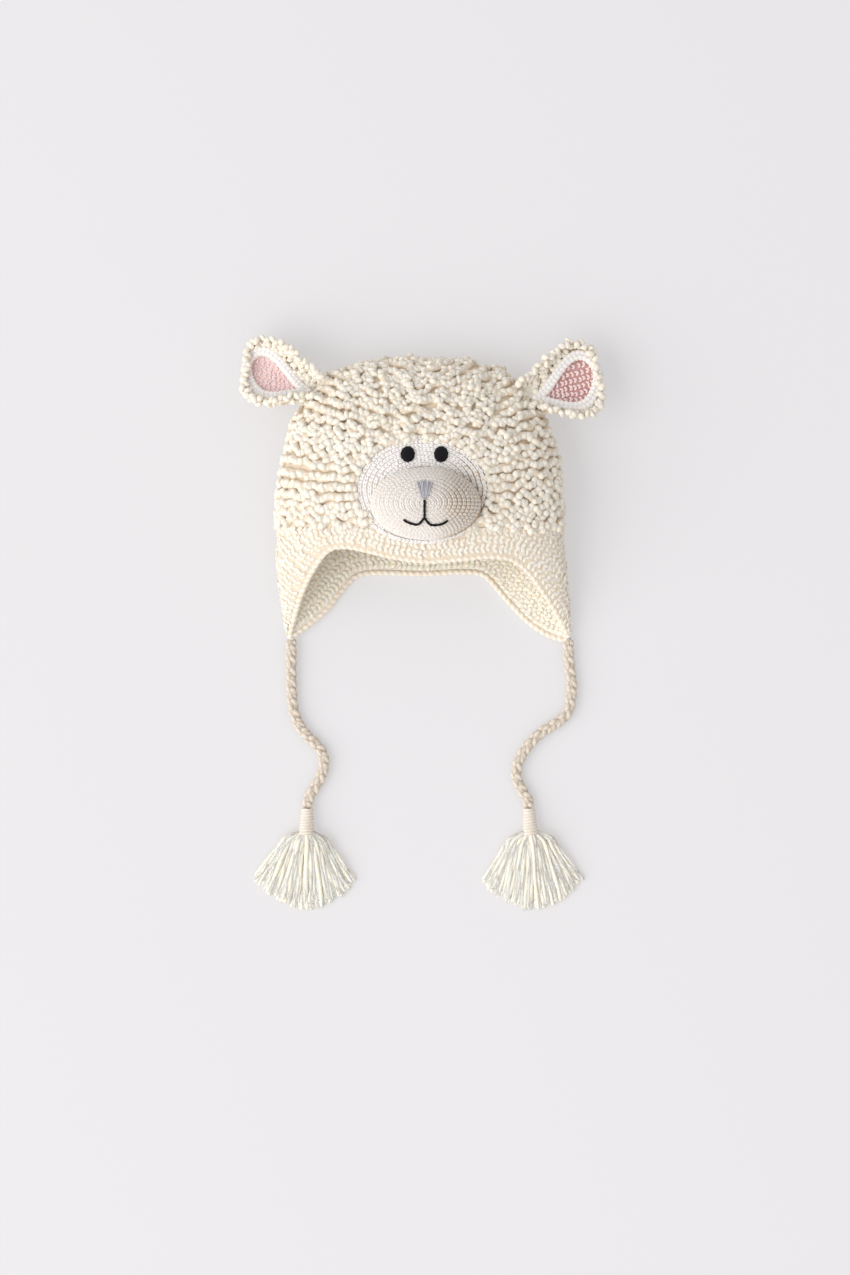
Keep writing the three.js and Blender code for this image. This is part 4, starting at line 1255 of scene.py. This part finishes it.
def ear_rim(ear):
    """The smooth white roll round the pink, made of two rounds of stitches. Each has how far out of the
    pink it lies, its height and its radius."""
    parts = []
    for grow, height, radius in RIM_ROUNDS:
        along, across = lining_outline(ear, np.linspace(0, TAU, 400), 1, grow)
        line = evenly(on_ear(ear, np.maximum(along, 0.03), across, height), 220)[:-1]
        out = unit(line - line.mean(0))
        turns = np.arange(len(line)) / len(line) * round(way_along(line)[-1] / 3)

        def outline(i, angle):
            chain = np.sin(turns[i] * TAU + 1.2 * np.cos(angle))
            fat = radius * (1 + 0.07 * chain)
            # Painted shade in the grooves between the roll's stitches
            return fat * np.cos(angle), fat * np.sin(angle), np.clip(0.2 - 0.4 * chain, 0, 1) * 0.3

        parts.append(tube("rim", line, out, outline, 10, True))
    return joined("ear_rim", *parts)


print("ears")
for number, (side, ear) in enumerate(EARS.items()):
    held = ear_frame(ear)
    add_piece(f"ear_{side}_fabric", joined("ear_body", ear_body(held)), wool, f"ear_{side}")
    add_piece(f"ear_{side}_curls", ear_curls(held, 40 + 10 * number), wool, f"ear_{side}")
    add_piece(f"ear_{side}_rim", ear_rim(held), cotton, f"ear_rim_{side}")
    node = f"ear_lining_{side}"
    add_piece(f"ear_{side}_lining", joined("lining", ear_lining(held)), pink, node)
    add_piece(f"ear_{side}_lining_stitches", lining_stitches(held), pink, node)


# The ties and tassels


PLAIT = 21.0  # length of braid in which a strand comes back to its side
STRAND_RADIUS = 2.0
STRANDS_OUT = 1.7
STRANDS_UP = 0.95


def tie_line(tie):
    """A tie's middle line, from the flap's tip to its wrapped neck."""
    turn = np.array([np.radians(tie["turn"])])
    drop = edge_drop(turn)
    tip = (band_point(drop, turn) - band_normal(drop, turn) * BAND_WALL / 2)[0]
    lying = TIE_DIAMETER / 2 + CLEAR_OF_FLOOR
    start = np.array([tip[0], tip[1] - SEAM_GAP, max(lying, tip[2])])
    points = [start]
    for k, (right, down) in enumerate(tie["route"]):
        level = lying if k else (lying + start[2]) / 2
        points.append(np.array([tip[0] + right, tip[1] - down, level]))
    return smooth_line(points, 260)


def braid(line):
    """Three strands plaited flat."""
    length = way_along(line)[-1]
    side = unit(np.cross(unit(np.gradient(line, axis=0)), (0, 0, 1)))
    way = np.linspace(0, length, len(line))

    # Painted shade on the strands' undersides and in the grooves between their plies
    def hollow_painted_shade(angle, ply):
        low = np.clip(-np.sin(angle), 0, 1)
        return np.clip(0.2 + 0.6 * low + np.clip(1 - ply, 0, 1) * 5, 0, 1)

    parts = []
    for k in range(3):
        phase = TAU * (way / PLAIT + k / 3)
        middle = line + side * (STRANDS_OUT * np.sin(phase))[:, None]
        middle[:, 2] += STRANDS_UP * np.sin(2 * phase)
        thick = round_ends(170, length * 1.1, STRAND_RADIUS * 0.8)
        turns = np.linspace(0, length / 4, 170)
        parts.append(strand(evenly(middle, 170), (0, 0, 1), STRAND_RADIUS, thick, turns, 0.09, 10,
                            hollow_painted_shade, 0.92))
    return joined("braid", *parts)


def neck(end, ahead):
    """Yarn wound tightly round the braid's end."""
    side = unit(np.cross(ahead, (0, 0, 1)))

    def place(u, v):
        angle = u * TAU
        way = np.clip((v - 0.06) / 0.88, 0, 1)
        radius = (WRAP_TOP_DIAMETER + (WRAP_END_DIAMETER - WRAP_TOP_DIAMETER) * way**1.4) / 2
        coil = 0.28 * np.abs(np.sin(np.pi * (way * WRAP_LENGTH / 1.9 + u)))
        closing = np.sqrt(np.clip(np.minimum(v, 1 - v) / 0.06, 0, 1))
        fat = (radius - 0.3 + coil) * closing
        point = end + ahead * (way * WRAP_LENGTH)[:, None] + side * (fat * np.cos(angle))[:, None]
        point[:, 2] = CLEAR_OF_FLOOR + radius + fat * np.sin(angle) * 0.98
        # Painted shade between the coils
        return point, np.clip(0.7 - coil * 4, 0, 1) * 0.5

    return shaped_grid("neck", (36, 110), place, (30, 17))


STRANDS = 150


def tassel(end, ahead, seed):
    """Loose strands that leave the neck, arch over and fan out on the surface."""
    neck_half, neck_high, floor_high, arch_high = 2.9, 5.6, 1.2, 6.2
    side = unit(np.cross(ahead, (0, 0, 1)))
    rng = np.random.default_rng(seed)
    parts = []
    for k in range(STRANDS):
        share = np.clip((2 * (k + 0.5) / STRANDS - 1) + rng.normal(0, 0.05), -1, 1)
        layer = rng.uniform(0, 1)
        reach = TASSEL_LENGTH * (1 - 0.2 * share**2) * rng.uniform(0.9, 1.04)
        t = np.linspace(0, 1, 22)
        spread = 0.26 * smooth_step(t, 0, 0.16) + 0.74 * t
        out = share * (neck_half + (TASSEL_WIDTH / 2 - 3.5) * 0.97 * spread)
        out = out + rng.normal(0, 0.8) * np.sin(np.pi * t) + 0.25 * np.sin(TAU * (t * 1.6 + rng.uniform()))
        rise = (1 + arch_high * layer * (1 - 0.55 * abs(share))) * (1 - t**2.2) * smooth_step(t, 0, 0.12)
        start = neck_high + rng.uniform(-2.6, 3.4) * (1 - 0.6 * abs(share))
        z = start * (1 - smooth_step(t, 0, 0.35)) + (floor_high + rise) * smooth_step(t, 0, 0.35)
        line = end + ahead * (reach * t * (1 - 0.16 * share**2 * t))[:, None] + side * out[:, None]
        line[:, 2] = np.maximum(z + 0.25 * np.sin(TAU * (t * 2 + rng.uniform())), 1.15)
        thick, turns = round_ends(24, reach, 0.9), np.linspace(0, reach / 4, 24)
        # The last function is painted shade on each strand's underside
        parts.append(strand(evenly(line, 24), (0, 0, 1), rng.uniform(1.05, 1.45), thick, turns, 0.1, 7,
                            lambda angle, ply: np.clip(0.4 - np.sin(angle), 0, 1) * 0.4))
    return joined("tassel", *parts)


print("ties")
for number, (side, tie) in enumerate(TIES.items()):
    line = tie_line(tie)
    ahead = unit(line[-1] - line[-4])
    plait = add_piece(f"tie_{side}_braid", braid(line), plied, f"tie_{side}")
    mesh = joined("neck", neck(line[-1] + ahead * SEAM_GAP, ahead))
    wrap = add_piece(f"tie_{side}_neck", mesh, plied, f"tie_wrap_{side}")
    mesh = tassel(line[-1] + ahead * (SEAM_GAP + WRAP_LENGTH - 3), ahead, 70 + number)
    fringe = add_piece(f"tassel_{side}_strands", mesh, fluff, f"tassel_{side}")


# The surface that the hat lies on, and the light


def surface():
    """The white surface, just under the hat."""
    bm = bmesh.new()
    bmesh.ops.create_grid(bm, x_segments=1, y_segments=1, size=4)
    bmesh.ops.translate(bm, vec=(0, 0, -0.0003), verts=bm.verts)
    mesh = bpy.data.meshes.new("surface")
    bm.to_mesh(mesh)
    bm.free()
    mesh.materials.append(new_material("white_surface", {
        "Base Color": linear("#a9a7a9"), "Emission Color": linear("#ffffff"), "Emission Strength": 0.38,
        "Roughness": 0.85, "Specular IOR Level": 0.1,
    }))
    floor = bpy.data.objects.new("surface", mesh)
    bpy.context.scene.collection.objects.link(floor)


def light(name, location, size, power):
    """A square lamp that faces the hat. Its place and size are in metres, and its power in watts."""
    data = bpy.data.lights.new(name, "AREA")
    data.size = size
    data.energy = power
    data.color = (1.0, 0.99, 0.98)
    lamp = bpy.data.objects.new(name, data)
    lamp.location = location
    lamp.rotation_mode = "QUATERNION"
    lamp.rotation_quaternion = (-Vector(location)).to_track_quat("-Z", "Y")
    bpy.context.scene.collection.objects.link(lamp)


surface()
light("window", (-3.3, -1.2, 2.9), 4.8, 192)
light("reflector", (0.0, -2.0, 1.7), 1.8, 5)
world = bpy.data.worlds.new("room")
world.use_nodes = True
world.node_tree.nodes["Background"].inputs["Color"].default_value = linear("#f5f4f6")
world.node_tree.nodes["Background"].inputs["Strength"].default_value = 0.74
bpy.context.scene.world = world
bpy.context.scene.view_settings.view_transform = "Standard"
